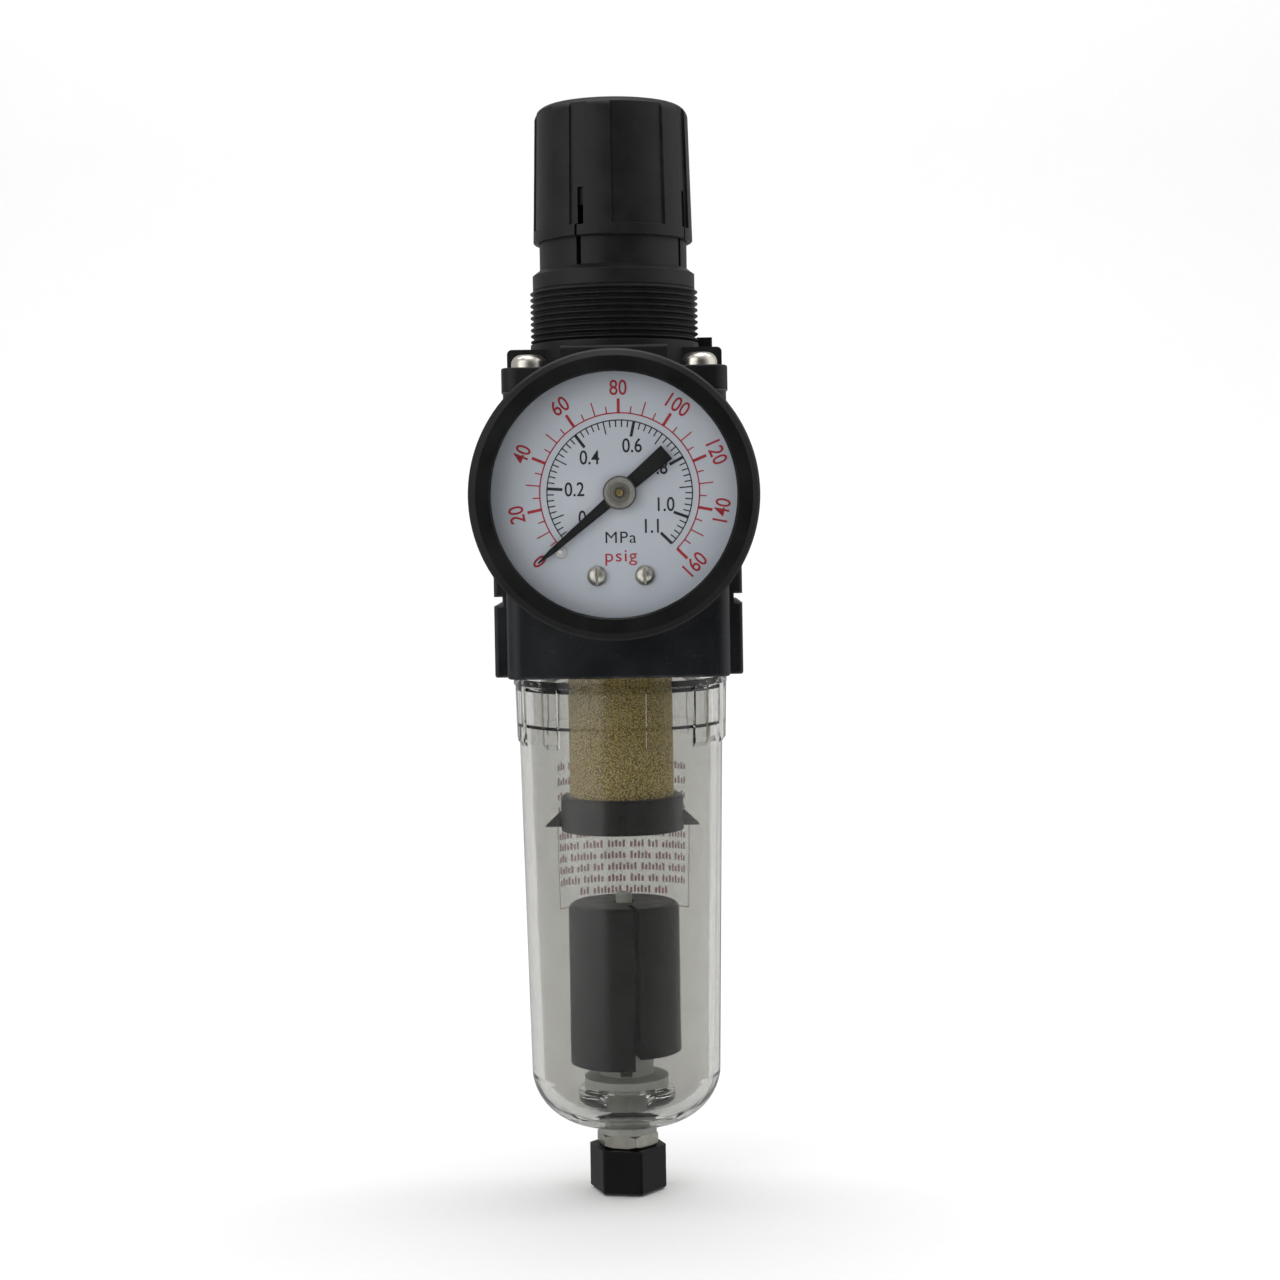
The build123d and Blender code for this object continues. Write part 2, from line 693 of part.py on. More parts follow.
# ---------------------------------------------------------------- element and baffle
with BuildPart() as filter_element:
    add(ring(ELEMENT_R, ELEMENT_BORE_R, ELEMENT_BOTTOM, ELEMENT_TOP))
filter_element.part.label = "filter_element"
export_step(filter_element.part, "parts/filter_element.step")

with BuildPart() as baffle:
    add(
        turned(
            [
                (0, -41.2),
                (2.38, -41.2),
                (2.38, ELEMENT_BOTTOM + 0.8),
                (5.2, ELEMENT_BOTTOM + 0.8),
                (5.2, ELEMENT_BOTTOM),
                (BAFFLE_R - 0.3, ELEMENT_BOTTOM),
                (BAFFLE_R, ELEMENT_BOTTOM - 0.4),
                (BAFFLE_R, BAFFLE_BOTTOM),
                (BAFFLE_R - 1.2, BAFFLE_BOTTOM),
                (BAFFLE_R - 1.2, ELEMENT_BOTTOM - 1.6),
                (0, ELEMENT_BOTTOM - 1.6),
            ]
        )
    )
    for quarter in range(4):
        with BuildSketch(upright(90 * quarter)):
            with BuildLine():
                Polyline(
                    (BAFFLE_R - 0.4, -76.6),
                    (BAFFLE_R + 0.1, -76.9),
                    (FIN_R, -79.2),
                    (FIN_R, -79.5),
                    (BAFFLE_R - 0.4, -79.5),
                    close=True,
                )
            make_face()
        extrude(amount=0.6, both=True)
baffle.part.label = "baffle"
export_step(baffle.part, "parts/baffle.step")

# ---------------------------------------------------------------- bowl and its seal
with BuildPart() as bowl:
    with BuildSketch(Plane.XZ):
        with BuildLine():
            Polyline(
                (13.4, -47.0),
                (15.4, -47.0),
                (15.7, -47.3),
                (15.7, -47.5),
                (14.1, -47.5),
                (14.1, -49.3),
                (15.7, -49.3),
                (15.7, BODY_BOTTOM),
                (BOWL_RING_R - 0.2, BODY_BOTTOM),
                (BOWL_RING_R, BODY_BOTTOM - 0.2),
                (BOWL_RING_R, BOWL_RING_BOTTOM),
                (BOWL_WALL_R, BOWL_RING_BOTTOM - 0.3),
                (BOWL_FOOT_R, BOWL_DOME_TOP),
            )
            ThreePointArc((BOWL_FOOT_R, BOWL_DOME_TOP), (13.3, -126.3), (7.4, BOWL_BOTTOM))
            Polyline(
                (7.4, BOWL_BOTTOM),
                (TUBE_R + 0.15, BOWL_BOTTOM),
                (TUBE_R + 0.15, BOWL_FLOOR),
                (8.0, BOWL_FLOOR),
                (8.4, BOWL_FLOOR - 0.4),
                (8.4, -126.4),
            )
            ThreePointArc((8.4, -126.4), (11.9, -124.5), (BOWL_FOOT_R - 1.95, BOWL_DOME_TOP))
            Polyline(
                (BOWL_FOOT_R - 1.95, BOWL_DOME_TOP),
                (BOWL_WALL_R - 1.95, -62.4),
                (BOWL_WALL_R - 2.45, -61.9),
                (BOWL_WALL_R - 2.45, -56.4),
                (13.4, -54.6),
                (13.4, -47.0),
            )
        make_face()
    revolve(axis=Axis.Z)
    for number in range(RIB_COUNT):
        middle = RIB_START + number * 360 / RIB_COUNT
        with BuildSketch(upright(middle - RIB_WIDTH / 2)):
            with BuildLine():
                Polyline(
                    (16.6, BODY_BOTTOM - 0.6),
                    (BOWL_RING_R - 0.02, BODY_BOTTOM - 0.6),
                    (17.62, RIB_BOTTOM + 0.9),
                    (16.6, RIB_BOTTOM - 0.5),
                    close=True,
                )
            make_face()
        revolve(axis=Axis.Z, revolution_arc=RIB_WIDTH)
bowl.part.label = "bowl"
export_step(bowl.part, "parts/bowl.step")

with BuildPart() as bowl_seal:
    add(o_ring(radius=15.0, section=0.86, z=-48.4))
bowl_seal.part.label = "bowl_seal"
export_step(bowl_seal.part, "parts/bowl_seal.step")

# ================================================================ float drain
# ---------------------------------------------------------------- float
with BuildPart() as float_ring:
    with BuildSketch(Plane.XY.offset(FLOAT_BOTTOM)):
        Circle(FLOAT_R)
    extrude(amount=FLOAT_TOP - FLOAT_BOTTOM)
    fillet(float_ring.faces().sort_by(Axis.Z)[-1].edges().sort_by(SortBy.LENGTH)[-1], 1.2)
    with BuildSketch(Plane.XY.offset(FLOAT_BOTTOM)):
        Circle(FLOAT_BORE_R)
    extrude(amount=FLOAT_TOP - FLOAT_ROOF - FLOAT_BOTTOM, mode=Mode.SUBTRACT)
    with BuildSketch(Plane.XY.offset(FLOAT_TOP)):
        Circle(PIN_R + 0.4)
    extrude(amount=-FLOAT_ROOF, mode=Mode.SUBTRACT)
    # lengthwise slot, and the shorter right-hand skirt beside it
    with BuildSketch(upright(-77.5)):
        with Locations((7.5, (FLOAT_TOP + FLOAT_BOTTOM) / 2)):
            Rectangle(6, FLOAT_TOP - FLOAT_BOTTOM + 2)
    extrude(amount=0.45, both=True, mode=Mode.SUBTRACT)
    with BuildSketch(upright(-77.5)):
        with Locations((7.5, FLOAT_BOTTOM)):
            Rectangle(6, 3.8)
    revolve(axis=Axis.Z, revolution_arc=110, mode=Mode.SUBTRACT)
float_ring.part.label = "float"
export_step(float_ring.part, "parts/float.step")

# ---------------------------------------------------------------- drain body inside the bowl
with BuildPart() as drain_body:
    add(
        turned(
            [
                (1.4, -129.6),
                (2.2, -130.4),
                (2.2, -137.2),
                (TUBE_R - 0.3, -137.2),
                (TUBE_R, -136.9),
                (TUBE_R, BOWL_FLOOR),
                (4.6, BOWL_FLOOR),
                (4.6, BOWL_FLOOR + 1.25),
                (6.0, BOWL_FLOOR + 1.25),
                (6.0, BOWL_FLOOR),
                (7.1, BOWL_FLOOR),
                (7.1, BOWL_FLOOR + 2.0),
                (GUIDE_R, BOWL_FLOOR + 2.4),
                (GUIDE_R, GUIDE_TOP - 0.5),
                (GUIDE_R - 0.5, GUIDE_TOP),
                (PIN_R, GUIDE_TOP),
                (PIN_R, PIN_TOP - 0.2),
                (PIN_R - 0.2, PIN_TOP),
                (0.6, PIN_TOP),
                (0.6, GUIDE_TOP - 1.8),
                (3.2, GUIDE_TOP - 1.8),
                (3.2, -120.2),
                (1.4, -120.2),
            ]
        )
    )
    # windows that let the water reach the seat
    with BuildSketch(Plane.XY.offset(BOWL_FLOOR + 2.6)):
        Rectangle(12, 2.0)
        Rectangle(2.0, 12)
    extrude(amount=1.4, mode=Mode.SUBTRACT)
drain_body.part.label = "drain_body"
export_step(drain_body.part, "parts/drain_body.step")

with BuildPart() as drain_piston:
    add(
        turned(
            [
                (0, -100.0),
                (3.12, -100.0),
                (3.12, -103.0),
                (1.0, -103.0),
                (1.0, -129.4),
                (2.0, -130.4),
                (2.0, -132.0),
                (0, -132.0),
            ]
        )
    )
drain_piston.part.label = "drain_piston"
export_step(drain_piston.part, "parts/drain_piston.step")

with BuildPart() as piston_spring:
    add(coil_spring(radius=2.2, wire=0.25, low=-120.15, high=-103.05, turns=9))
piston_spring.part.label = "piston_spring"
export_step(piston_spring.part, "parts/piston_spring.step")

with BuildPart() as drain_seal:
    add(o_ring(radius=5.3, section=0.6, z=BOWL_FLOOR + 0.6))
drain_seal.part.label = "drain_seal"
export_step(drain_seal.part, "parts/drain_seal.step")

# ---------------------------------------------------------------- drain hardware below the bowl
with BuildPart() as drain_washer:
    add(ring(4.95, TUBE_R + 0.05, NUT_TOP, BOWL_BOTTOM))
drain_washer.part.label = "drain_washer"
export_step(drain_washer.part, "parts/drain_washer.step")

with BuildPart() as drain_nut:
    with BuildSketch(Plane.XY.offset(NUT_BOTTOM)):
        RegularPolygon(4.6, 6, major_radius=False, rotation=-15)
    extrude(amount=NUT_TOP - NUT_BOTTOM)
    add(
        turned(
            [(3, NUT_BOTTOM), (4.75, NUT_BOTTOM), (5.4, -132.8), (5.4, -131.5), (4.75, NUT_TOP), (3, NUT_TOP)]
        ),
        mode=Mode.INTERSECT,
    )
    with BuildSketch(Plane.XY.offset(NUT_BOTTOM)):
        Circle(TUBE_R + 0.03)
    extrude(amount=NUT_TOP - NUT_BOTTOM, mode=Mode.SUBTRACT)
drain_nut.part.label = "drain_nut"
export_step(drain_nut.part, "parts/drain_nut.step")

with BuildPart() as drain_knob:
    with BuildSketch(Plane.XY.offset(DRAIN_KNOB_BOTTOM)):
        RegularPolygon(DRAIN_KNOB_FLATS / 2, 6, major_radius=False, rotation=-9)
    extrude(amount=DRAIN_KNOB_TOP - DRAIN_KNOB_BOTTOM)
    fillet(drain_knob.edges().filter_by(Axis.Z), 0.5)
    chamfer(drain_knob.faces().sort_by(Axis.Z)[0].edges(), 0.35)
    with BuildSketch(Plane.XY.offset(-137.5)):
        Circle(TUBE_R + 0.06)
    extrude(amount=DRAIN_KNOB_TOP + 137.5, mode=Mode.SUBTRACT)
    with BuildSketch(Plane.XY.offset(DRAIN_KNOB_BOTTOM)):
        Circle(2.6)
    extrude(amount=3.4, mode=Mode.SUBTRACT)
drain_knob.part.label = "drain_knob"
export_step(drain_knob.part, "parts/drain_knob.step")

# ================================================================ pressure gauge
# ---------------------------------------------------------------- socket
with BuildPart() as gauge_socket:
    with BuildSketch(facing(11.5)):
        Circle(GAUGE_PORT_R - 0.02)
    extrude(amount=8.5)
    with BuildSketch(facing(19.9)):
        RegularPolygon(5.5, 6, major_radius=False, rotation=30)
    extrude(amount=CASE_BACK - 19.9)
    with BuildSketch(facing(CASE_BACK)):
        Circle(5.0)
    extrude(amount=1.2)
    with BuildSketch(facing(CASE_BACK + 0.8)):
        Rectangle(9.0, 8.0)
    extrude(amount=36.6 - CASE_BACK - 0.8)
    # leg that the bourdon tube is brazed to
    with BuildSketch(facing(29.5)):
        with Locations((0, -9.0)):
            Rectangle(3.0, 12.2)
    extrude(amount=4.0)
    with BuildSketch(facing(11.5)):
        Circle(1.2)
    extrude(amount=20, mode=Mode.SUBTRACT)
gauge_socket.part.label = "gauge_socket"
export_step(gauge_socket.part, "parts/gauge_socket.step")

# ---------------------------------------------------------------- case, bezel, lens and its gasket
with BuildPart() as gauge_case:
    with BuildSketch(facing(CASE_BACK)):
        with Locations((0, 0)):
            Circle(CASE_R)
    extrude(amount=CASE_FRONT - CASE_BACK)
    fillet(gauge_case.faces().sort_by(Axis.Y)[-1].edges(), 1.6)
    with BuildSketch(facing(CASE_BACK + 0.8)):
        Circle(CASE_R - 0.8)
    extrude(amount=CASE_FRONT - CASE_BACK, mode=Mode.SUBTRACT)
    with BuildSketch(facing(CASE_BACK)):
        Circle(5.05)
    extrude(amount=2, mode=Mode.SUBTRACT)
gauge_case.part.label = "gauge_case"
export_step(gauge_case.part, "parts/gauge_case.step")

with BuildPart() as gauge_bezel:
    add(
        gauge_turned(
            [
                (18.1, 48.1),
                (18.1, 49.0),
                (18.35, BEZEL_FRONT),
                (20.4, BEZEL_FRONT),
                (21.2, 48.75),
                (BEZEL_R, 48.35),
                (BEZEL_R, 41.3),
                (21.2, 41.0),
                (CASE_R + 0.05, 41.0),
                (CASE_R + 0.05, 46.6),
                (19.75, 46.6),
                (19.75, 48.1),
            ]
        )
    )
gauge_bezel.part.label = "gauge_bezel"
export_step(gauge_bezel.part, "parts/gauge_bezel.step")

with BuildPart() as gauge_lens:
    add(gauge_turned([(0, 46.9), (19.6, 46.9), (19.6, 48.1), (0, 48.1)]))
gauge_lens.part.label = "gauge_lens"
export_step(gauge_lens.part, "parts/gauge_lens.step")

with BuildPart() as lens_gasket:
    add(gauge_turned([(18.5, CASE_FRONT), (19.6, CASE_FRONT), (19.6, 46.9), (18.5, 46.9)]))
lens_gasket.part.label = "lens_gasket"
export_step(lens_gasket.part, "parts/lens_gasket.step")

# ---------------------------------------------------------------- dial, its screws and the stop pin
DIAL_SCREWS = ((-3.55, -12.3), (3.55, -12.3))
STOP_PIN = (12.4 * cos(radians(224.15)), 12.4 * sin(radians(224.15)))

with BuildPart() as gauge_dial:
    with BuildSketch(facing(DIAL_FRONT - 0.5)):
        Circle(DIAL_R)
        with Locations((ARBOR_X, ARBOR_Z - GAUGE_Z)):
            Circle(1.5, mode=Mode.SUBTRACT)
            with Locations(*DIAL_SCREWS):
                Circle(0.6, mode=Mode.SUBTRACT)
            with Locations(STOP_PIN):
                Circle(0.6, mode=Mode.SUBTRACT)
    extrude(amount=0.5)
gauge_dial.part.label = "gauge_dial"
export_step(gauge_dial.part, "parts/gauge_dial.step")

with BuildPart() as dial_screws:
    for offset_x, offset_z in DIAL_SCREWS:
        spot_x = ARBOR_X + offset_x
        spot_z = ARBOR_Z + offset_z
        with BuildSketch(gauge_section(spot_x, spot_z)):
            with BuildLine():
                Polyline((0, 41.8), (0.5, 41.8), (0.5, DIAL_FRONT), (1.5, DIAL_FRONT), (1.5, 44.9))
                ThreePointArc((1.5, 44.9), (0.95, 45.4), (0, 45.6))
                Line((0, 45.6), (0, 41.8))
            make_face()
        revolve(axis=gauge_axis(spot_x, spot_z))
        with BuildSketch(facing(45.2, spot_x, spot_z)):
            Rectangle(0.35, 4)
        extrude(amount=1, mode=Mode.SUBTRACT)
dial_screws.part.label = "dial_screws"
export_step(dial_screws.part, "parts/dial_screws.step")

with BuildPart() as stop_pin:
    add(
        gauge_turned(
            [
                (0, 43.2),
                (0.58, 43.2),
                (0.58, DIAL_FRONT),
                (0.95, DIAL_FRONT),
                (0.95, 44.8),
                (0.8, 44.95),
                (0.4, 44.95),
                (0.4, 45.8),
                (0.3, 45.9),
                (0, 45.9),
            ],
            ARBOR_X + STOP_PIN[0],
            ARBOR_Z + STOP_PIN[1],
        )
    )
stop_pin.part.label = "stop_pin"
export_step(stop_pin.part, "parts/stop_pin.step")

# ---------------------------------------------------------------- pointer and its arbor
with BuildPart() as gauge_pointer:
    half_outline = [(-9.2, 1.3), (-1.5, 1.0), (1.5, 0.85), (POINTER_TIP - 2.5, 0.42), (POINTER_TIP, 0.1)]
    outline = half_outline + [(along, -across) for along, across in reversed(half_outline)]
    with BuildSketch(facing(45.2, ARBOR_X, ARBOR_Z)):
        with BuildLine():
            Polyline(*swung(outline, POINTER_REST), close=True)
        make_face()
        Circle(2.2)
        Circle(0.55, mode=Mode.SUBTRACT)
    extrude(amount=0.35)
gauge_pointer.part.label = "gauge_pointer"
export_step(gauge_pointer.part, "parts/gauge_pointer.step")

with BuildPart() as pointer_hub:
    hub_profile = [
        (0.5, 45.55),
        (2.5, 45.55),
        (2.5, 45.95),
        (2.25, 46.15),
        (1.75, 46.15),
        (1.65, 46.0),
        (1.05, 46.0),
        (0.95, 46.3),
        (0.5, 46.3),
    ]
    add(gauge_turned(hub_profile, ARBOR_X, ARBOR_Z))
pointer_hub.part.label = "pointer_hub"
export_step(pointer_hub.part, "parts/pointer_hub.step")

with BuildPart() as pinion_arbor:
    with BuildSketch(facing(39.2, ARBOR_X, ARBOR_Z)):
        with BuildLine():
            Polyline(*gear_points(PINION_TEETH, 0, PINION_TEETH - 1), close=True)
        make_face()
    extrude(amount=1.6)
    with BuildSketch(facing(36.8, ARBOR_X, ARBOR_Z)):
        Circle(ARBOR_R)
    extrude(amount=46.35 - 36.8)
pinion_arbor.part.label = "pinion_arbor"
export_step(pinion_arbor.part, "parts/pinion_arbor.step")

# ---------------------------------------------------------------- sector gear
with BuildPart() as sector_gear:
    sector_outline = [(1.2, -1.2), *gear_points(SECTOR_TEETH, -5, 5), (1.2, 1.2)]
    with BuildSketch(facing(39.4, ARBOR_X, PIVOT_Z)):
        with BuildLine():
            Polyline(*swung(sector_outline, SECTOR_REST), close=True)
        make_face()
        Circle(1.7)
        with Locations(swung([(TAIL_REACH / 2, 0)], TAIL_ANGLE)[0]):
            SlotCenterToCenter(TAIL_REACH, 1.8, rotation=TAIL_ANGLE)
    extrude(amount=1.2)
    with BuildSketch(facing(36.8, ARBOR_X, PIVOT_Z)):
        Circle(ARBOR_R)
    extrude(amount=43.8 - 36.8)
    with BuildSketch(facing(38.2, TAIL_X, TAIL_Z)):
        Circle(LINK_PIN_R)
    extrude(amount=1.6)
sector_gear.part.label = "sector_gear"
export_step(sector_gear.part, "parts/sector_gear.step")

# ---------------------------------------------------------------- link from the sector's tail to the tube's tip
with BuildPart() as movement_link:
    reach = (TIP_X - TAIL_X, TIP_Z - TAIL_Z)
    with BuildSketch(facing(38.4, TAIL_X, TAIL_Z)):
        with Locations((reach[0] / 2, reach[1] / 2)):
            SlotCenterToCenter(
                (reach[0] ** 2 + reach[1] ** 2) ** 0.5, 1.6, rotation=degrees(atan2(reach[1], reach[0]))
            )
        with Locations((0, 0), reach):
            Circle(LINK_PIN_R + 0.05, mode=Mode.SUBTRACT)
    extrude(amount=0.5)
movement_link.part.label = "movement_link"
export_step(movement_link.part, "parts/movement_link.step")

# ---------------------------------------------------------------- movement frame
with BuildPart() as movement_frame:
    for distance in (36.6, 43.2):
        with BuildSketch(facing(distance, ARBOR_X, PIVOT_Z)):
            with Locations((0, 5.8)):
                RectangleRounded(12.0, 21.0, 1.5)
            with Locations((0, 0), (0, ARBOR_Z - PIVOT_Z)):
                Circle(ARBOR_R + 0.05, mode=Mode.SUBTRACT)
        extrude(amount=0.8)
    with BuildSketch(facing(36.6, ARBOR_X, PIVOT_Z)):
        with Locations((3.35, -3.7), (-4.4, -2.5)):
            Circle(0.8)
    extrude(amount=7.4)
    with BuildSketch(facing(43.0, ARBOR_X, ARBOR_Z)):
        with Locations(*DIAL_SCREWS):
            Circle(0.55)
    extrude(amount=1.2, mode=Mode.SUBTRACT)
movement_frame.part.label = "movement_frame"
export_step(movement_frame.part, "parts/movement_frame.step")

# ---------------------------------------------------------------- bourdon tube
with BuildPart() as bourdon_tube:
    start = radians(TUBE_START)
    section = Plane(
        origin=(0, 0, GAUGE_Z), x_dir=(cos(start), 0, sin(start)), z_dir=(sin(start), 0, -cos(start))
    )
    with BuildSketch(section):
        with Locations((TIP_R, 31.5)):
            RectangleRounded(1.6, 4.0, 0.7)
    revolve(axis=gauge_axis(), revolution_arc=TUBE_START - TIP_ANGLE)
    with BuildSketch(facing(29.5, TIP_X, TIP_Z)):
        Circle(1.5)
    extrude(amount=38.2 - 29.5)
    with BuildSketch(facing(38.2, TIP_X, TIP_Z)):
        Circle(LINK_PIN_R)
    extrude(amount=0.9)
bourdon_tube.part.label = "bourdon_tube"
export_step(bourdon_tube.part, "parts/bourdon_tube.step")
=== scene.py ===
"""Looks of the miniature filter-regulator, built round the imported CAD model.

Places are in metres, in the row frame, and names that hold millimetres are multiplied by MM.
"""

import math

import bmesh
import bpy
from mathutils import Matrix, Vector


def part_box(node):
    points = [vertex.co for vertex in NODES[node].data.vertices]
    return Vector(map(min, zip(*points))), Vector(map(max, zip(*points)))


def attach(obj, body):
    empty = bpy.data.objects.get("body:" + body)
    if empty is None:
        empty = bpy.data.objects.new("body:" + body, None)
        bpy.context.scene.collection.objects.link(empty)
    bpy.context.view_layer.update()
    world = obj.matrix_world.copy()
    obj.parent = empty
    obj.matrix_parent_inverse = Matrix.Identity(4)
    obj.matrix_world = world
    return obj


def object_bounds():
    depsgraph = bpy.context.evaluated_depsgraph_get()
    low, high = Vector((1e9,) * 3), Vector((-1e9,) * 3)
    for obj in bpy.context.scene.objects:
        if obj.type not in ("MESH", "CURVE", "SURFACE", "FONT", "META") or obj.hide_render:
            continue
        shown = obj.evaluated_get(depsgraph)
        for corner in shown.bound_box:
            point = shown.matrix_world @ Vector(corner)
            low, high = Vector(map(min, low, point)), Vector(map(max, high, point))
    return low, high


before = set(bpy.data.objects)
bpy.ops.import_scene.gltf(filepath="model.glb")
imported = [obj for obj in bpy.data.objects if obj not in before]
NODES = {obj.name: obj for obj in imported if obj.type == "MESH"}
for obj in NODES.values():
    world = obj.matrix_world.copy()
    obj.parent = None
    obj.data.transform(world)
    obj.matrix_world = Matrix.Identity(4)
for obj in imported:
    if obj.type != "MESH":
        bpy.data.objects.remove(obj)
cad_low, cad_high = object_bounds()

MM = 0.001


# ---------------------------------------------------------------- node graphs
class Finish:
    """One procedural material: a Principled shader and the nodes that feed it. Sizes are in millimetres."""

    def __init__(self, name, **sockets):
        self.material = bpy.data.materials.new(name)
        self.material.use_nodes = True
        self.tree = self.material.node_tree
        self.shader = self.tree.nodes["Principled BSDF"]
        self.output = self.tree.nodes["Material Output"]
        self.coordinates = self.add("ShaderNodeTexCoord").outputs["Object"]
        for label, value in sockets.items():
            self.shader.inputs[label.replace("_", " ")].default_value = value

    def add(self, kind, **settings):
        node = self.tree.nodes.new(kind)
        for label, value in settings.items():
            setattr(node, label, value)
        return node

    def link(self, source, target):
        self.tree.links.new(source, target)

    def stretched(self, scale):
        """The place on the object, with each axis multiplied by its share of scale."""
        mapping = self.add("ShaderNodeMapping")
        mapping.inputs["Scale"].default_value = scale
        self.link(self.coordinates, mapping.inputs["Vector"])
        return mapping.outputs["Vector"]

    def noise(self, size, detail=3.0, roughness=0.55, distortion=0.0, stretch=(1, 1, 1)):
        """Cloudy noise, 0 to 1, whose features are about size millimetres across."""
        node = self.add("ShaderNodeTexNoise")
        node.inputs["Scale"].default_value = 1 / (size * MM)
        node.inputs["Detail"].default_value = detail
        node.inputs["Roughness"].default_value = roughness
        node.inputs["Distortion"].default_value = distortion
        self.link(self.stretched(stretch), node.inputs["Vector"])
        return node.outputs["Fac"]

    def cells(self, size, feature="F1", stretch=(1, 1, 1), randomness=1.0):
        """Cell pattern: distance to the nearest point (F1) or to the cell's edge."""
        node = self.add("ShaderNodeTexVoronoi", feature=feature)
        node.inputs["Scale"].default_value = 1 / (size * MM)
        node.inputs["Randomness"].default_value = randomness
        self.link(self.stretched(stretch), node.inputs["Vector"])
        return node

    def remap(self, source, low, high, to_low=0.0, to_high=1.0):
        node = self.add("ShaderNodeMapRange", clamp=True)
        node.inputs["From Min"].default_value = low
        node.inputs["From Max"].default_value = high
        node.inputs["To Min"].default_value = to_low
        node.inputs["To Max"].default_value = to_high
        self.link(source, node.inputs["Value"])
        return node.outputs["Result"]

    def math(self, operation, first, second):
        node = self.add("ShaderNodeMath", operation=operation)
        for place, value in enumerate((first, second)):
            if isinstance(value, (int, float)):
                node.inputs[place].default_value = value
            else:
                self.link(value, node.inputs[place])
        return node.outputs["Value"]

    def mix(self, factor, first, second):
        """A colour between two, each an (r, g, b) or a socket."""
        node = self.add("ShaderNodeMix", data_type="RGBA")
        self.link(factor, node.inputs["Factor"])
        for label, value in (("A", first), ("B", second)):
            socket = next(s for s in node.inputs if s.name == label and s.type == "RGBA")
            if isinstance(value, tuple):
                socket.default_value = (*value, 1)
            else:
                self.link(value, socket)
        return next(s for s in node.outputs if s.type == "RGBA")

    def edges(self, radius, low=0.02, high=0.25):
        """1 on edges sharper than the radius, 0 on flat stretches."""
        bevel = self.add("ShaderNodeBevel", samples=4)
        bevel.inputs["Radius"].default_value = radius * MM
        geometry = self.add("ShaderNodeNewGeometry")
        dot = self.add("ShaderNodeVectorMath", operation="DOT_PRODUCT")
        self.link(bevel.outputs["Normal"], dot.inputs[0])
        self.link(geometry.outputs["Normal"], dot.inputs[1])
        turned = self.math("SUBTRACT", 1.0, dot.outputs["Value"])
        return self.remap(turned, low, high)

    def bump(self, height, depth, strength=1.0, rounding=0.0):
        """Relief of that depth in millimetres, over edges rounded by the rounding."""
        node = self.add("ShaderNodeBump")
        node.inputs["Distance"].default_value = depth * MM
        node.inputs["Strength"].default_value = strength
        self.link(height, node.inputs["Height"])
        if rounding:
            bevel = self.add("ShaderNodeBevel", samples=4)
            bevel.inputs["Radius"].default_value = rounding * MM
            self.link(bevel.outputs["Normal"], node.inputs["Normal"])
        self.link(node.outputs["Normal"], self.shader.inputs["Normal"])
        return node

    def colour(self, socket):
        self.link(socket, self.shader.inputs["Base Color"])

    def roughness(self, socket):
        self.link(socket, self.shader.inputs["Roughness"])


# ---------------------------------------------------------------- materials
def moulded_black(name, shade=0.0085, gloss=0.42, scuffs_and_sheen=0.3, texture=0.012, cool=1.12, shine=0.22):
    """Black moulded nylon: fine eggshell surface, faint flow clouds, edges polished by hands and lightened,
    partly as wear and partly as a painted highlight.
    """
    f = Finish(name, Specular_IOR_Level=shine)
    clouds = f.noise(6.0, detail=4)
    dark = (shade, shade * 1.02, shade * cool)
    light = (shade * 1.7, shade * 1.75, shade * 1.7 * cool)
    base = f.mix(f.remap(clouds, 0.35, 0.7), dark, light)
    # Lighter edges: partly wear, partly a painted highlight laid on every edge the bevel finds.
    wear_and_edge_sheen = f.math("MULTIPLY", f.edges(0.22), f.remap(f.noise(1.6, detail=5), 0.4, 0.7))
    wear_and_edge_sheen = f.math("MULTIPLY", wear_and_edge_sheen, scuffs_and_sheen)
    f.colour(f.mix(wear_and_edge_sheen, base, (0.11, 0.112, 0.118)))
    fine = f.noise(0.16, detail=2)
    broad = f.remap(clouds, 0.3, 0.75, gloss - 0.05, gloss + 0.07)
    rough = f.math("ADD", broad, f.remap(fine, 0.3, 0.7, -0.04, 0.04))
    f.roughness(rough)
    f.bump(fine, texture, 0.55, rounding=0.12)
    return f.material


def painted_casting():
    """Black paint on a zinc casting: fine orange peel, dust specks, scratches, edges lightened partly by
    wear and partly by a painted highlight.
    """
    f = Finish("painted_casting", Specular_IOR_Level=0.26)
    clouds = f.noise(7.0, detail=5)
    base = f.mix(f.remap(clouds, 0.3, 0.7), (0.0085, 0.009, 0.0105), (0.016, 0.0172, 0.02))
    specks = f.cells(0.55)
    sizes = f.noise(2.5, detail=2)
    dots = f.remap(specks.outputs["Distance"], 0.07, 0.16, 1, 0)
    spot = f.math("MULTIPLY", dots, f.remap(sizes, 0.5, 0.62))
    scratch = f.remap(f.noise(0.28, detail=2, distortion=0.6, stretch=(0.06, 1, 1)), 0.72, 0.78)
    patches = f.remap(f.noise(9.0, detail=2), 0.55, 0.66)
    marks = f.math("MAXIMUM", spot, f.math("MULTIPLY", scratch, patches))
    base = f.mix(f.math("MULTIPLY", marks, 0.4), base, (0.2, 0.205, 0.21))
    # Lighter edges: partly wear, partly a painted highlight along every edge, broken up by noise.
    edge_breakup = f.remap(f.noise(1.2, detail=6, stretch=(1, 1, 0.35)), 0.36, 0.62)
    edge_wear_and_sheen = f.math("MULTIPLY", f.edges(0.55, 0.01, 0.2), edge_breakup)
    f.colour(f.mix(f.math("MULTIPLY", edge_wear_and_sheen, 0.55), base, (0.32, 0.33, 0.34)))
    peel = f.noise(0.45, detail=3)
    f.roughness(f.math("ADD", f.remap(clouds, 0.3, 0.75, 0.3, 0.44), f.math("MULTIPLY", marks, 0.15)))
    f.bump(peel, 0.03, 0.5, rounding=0.3)
    return f.material


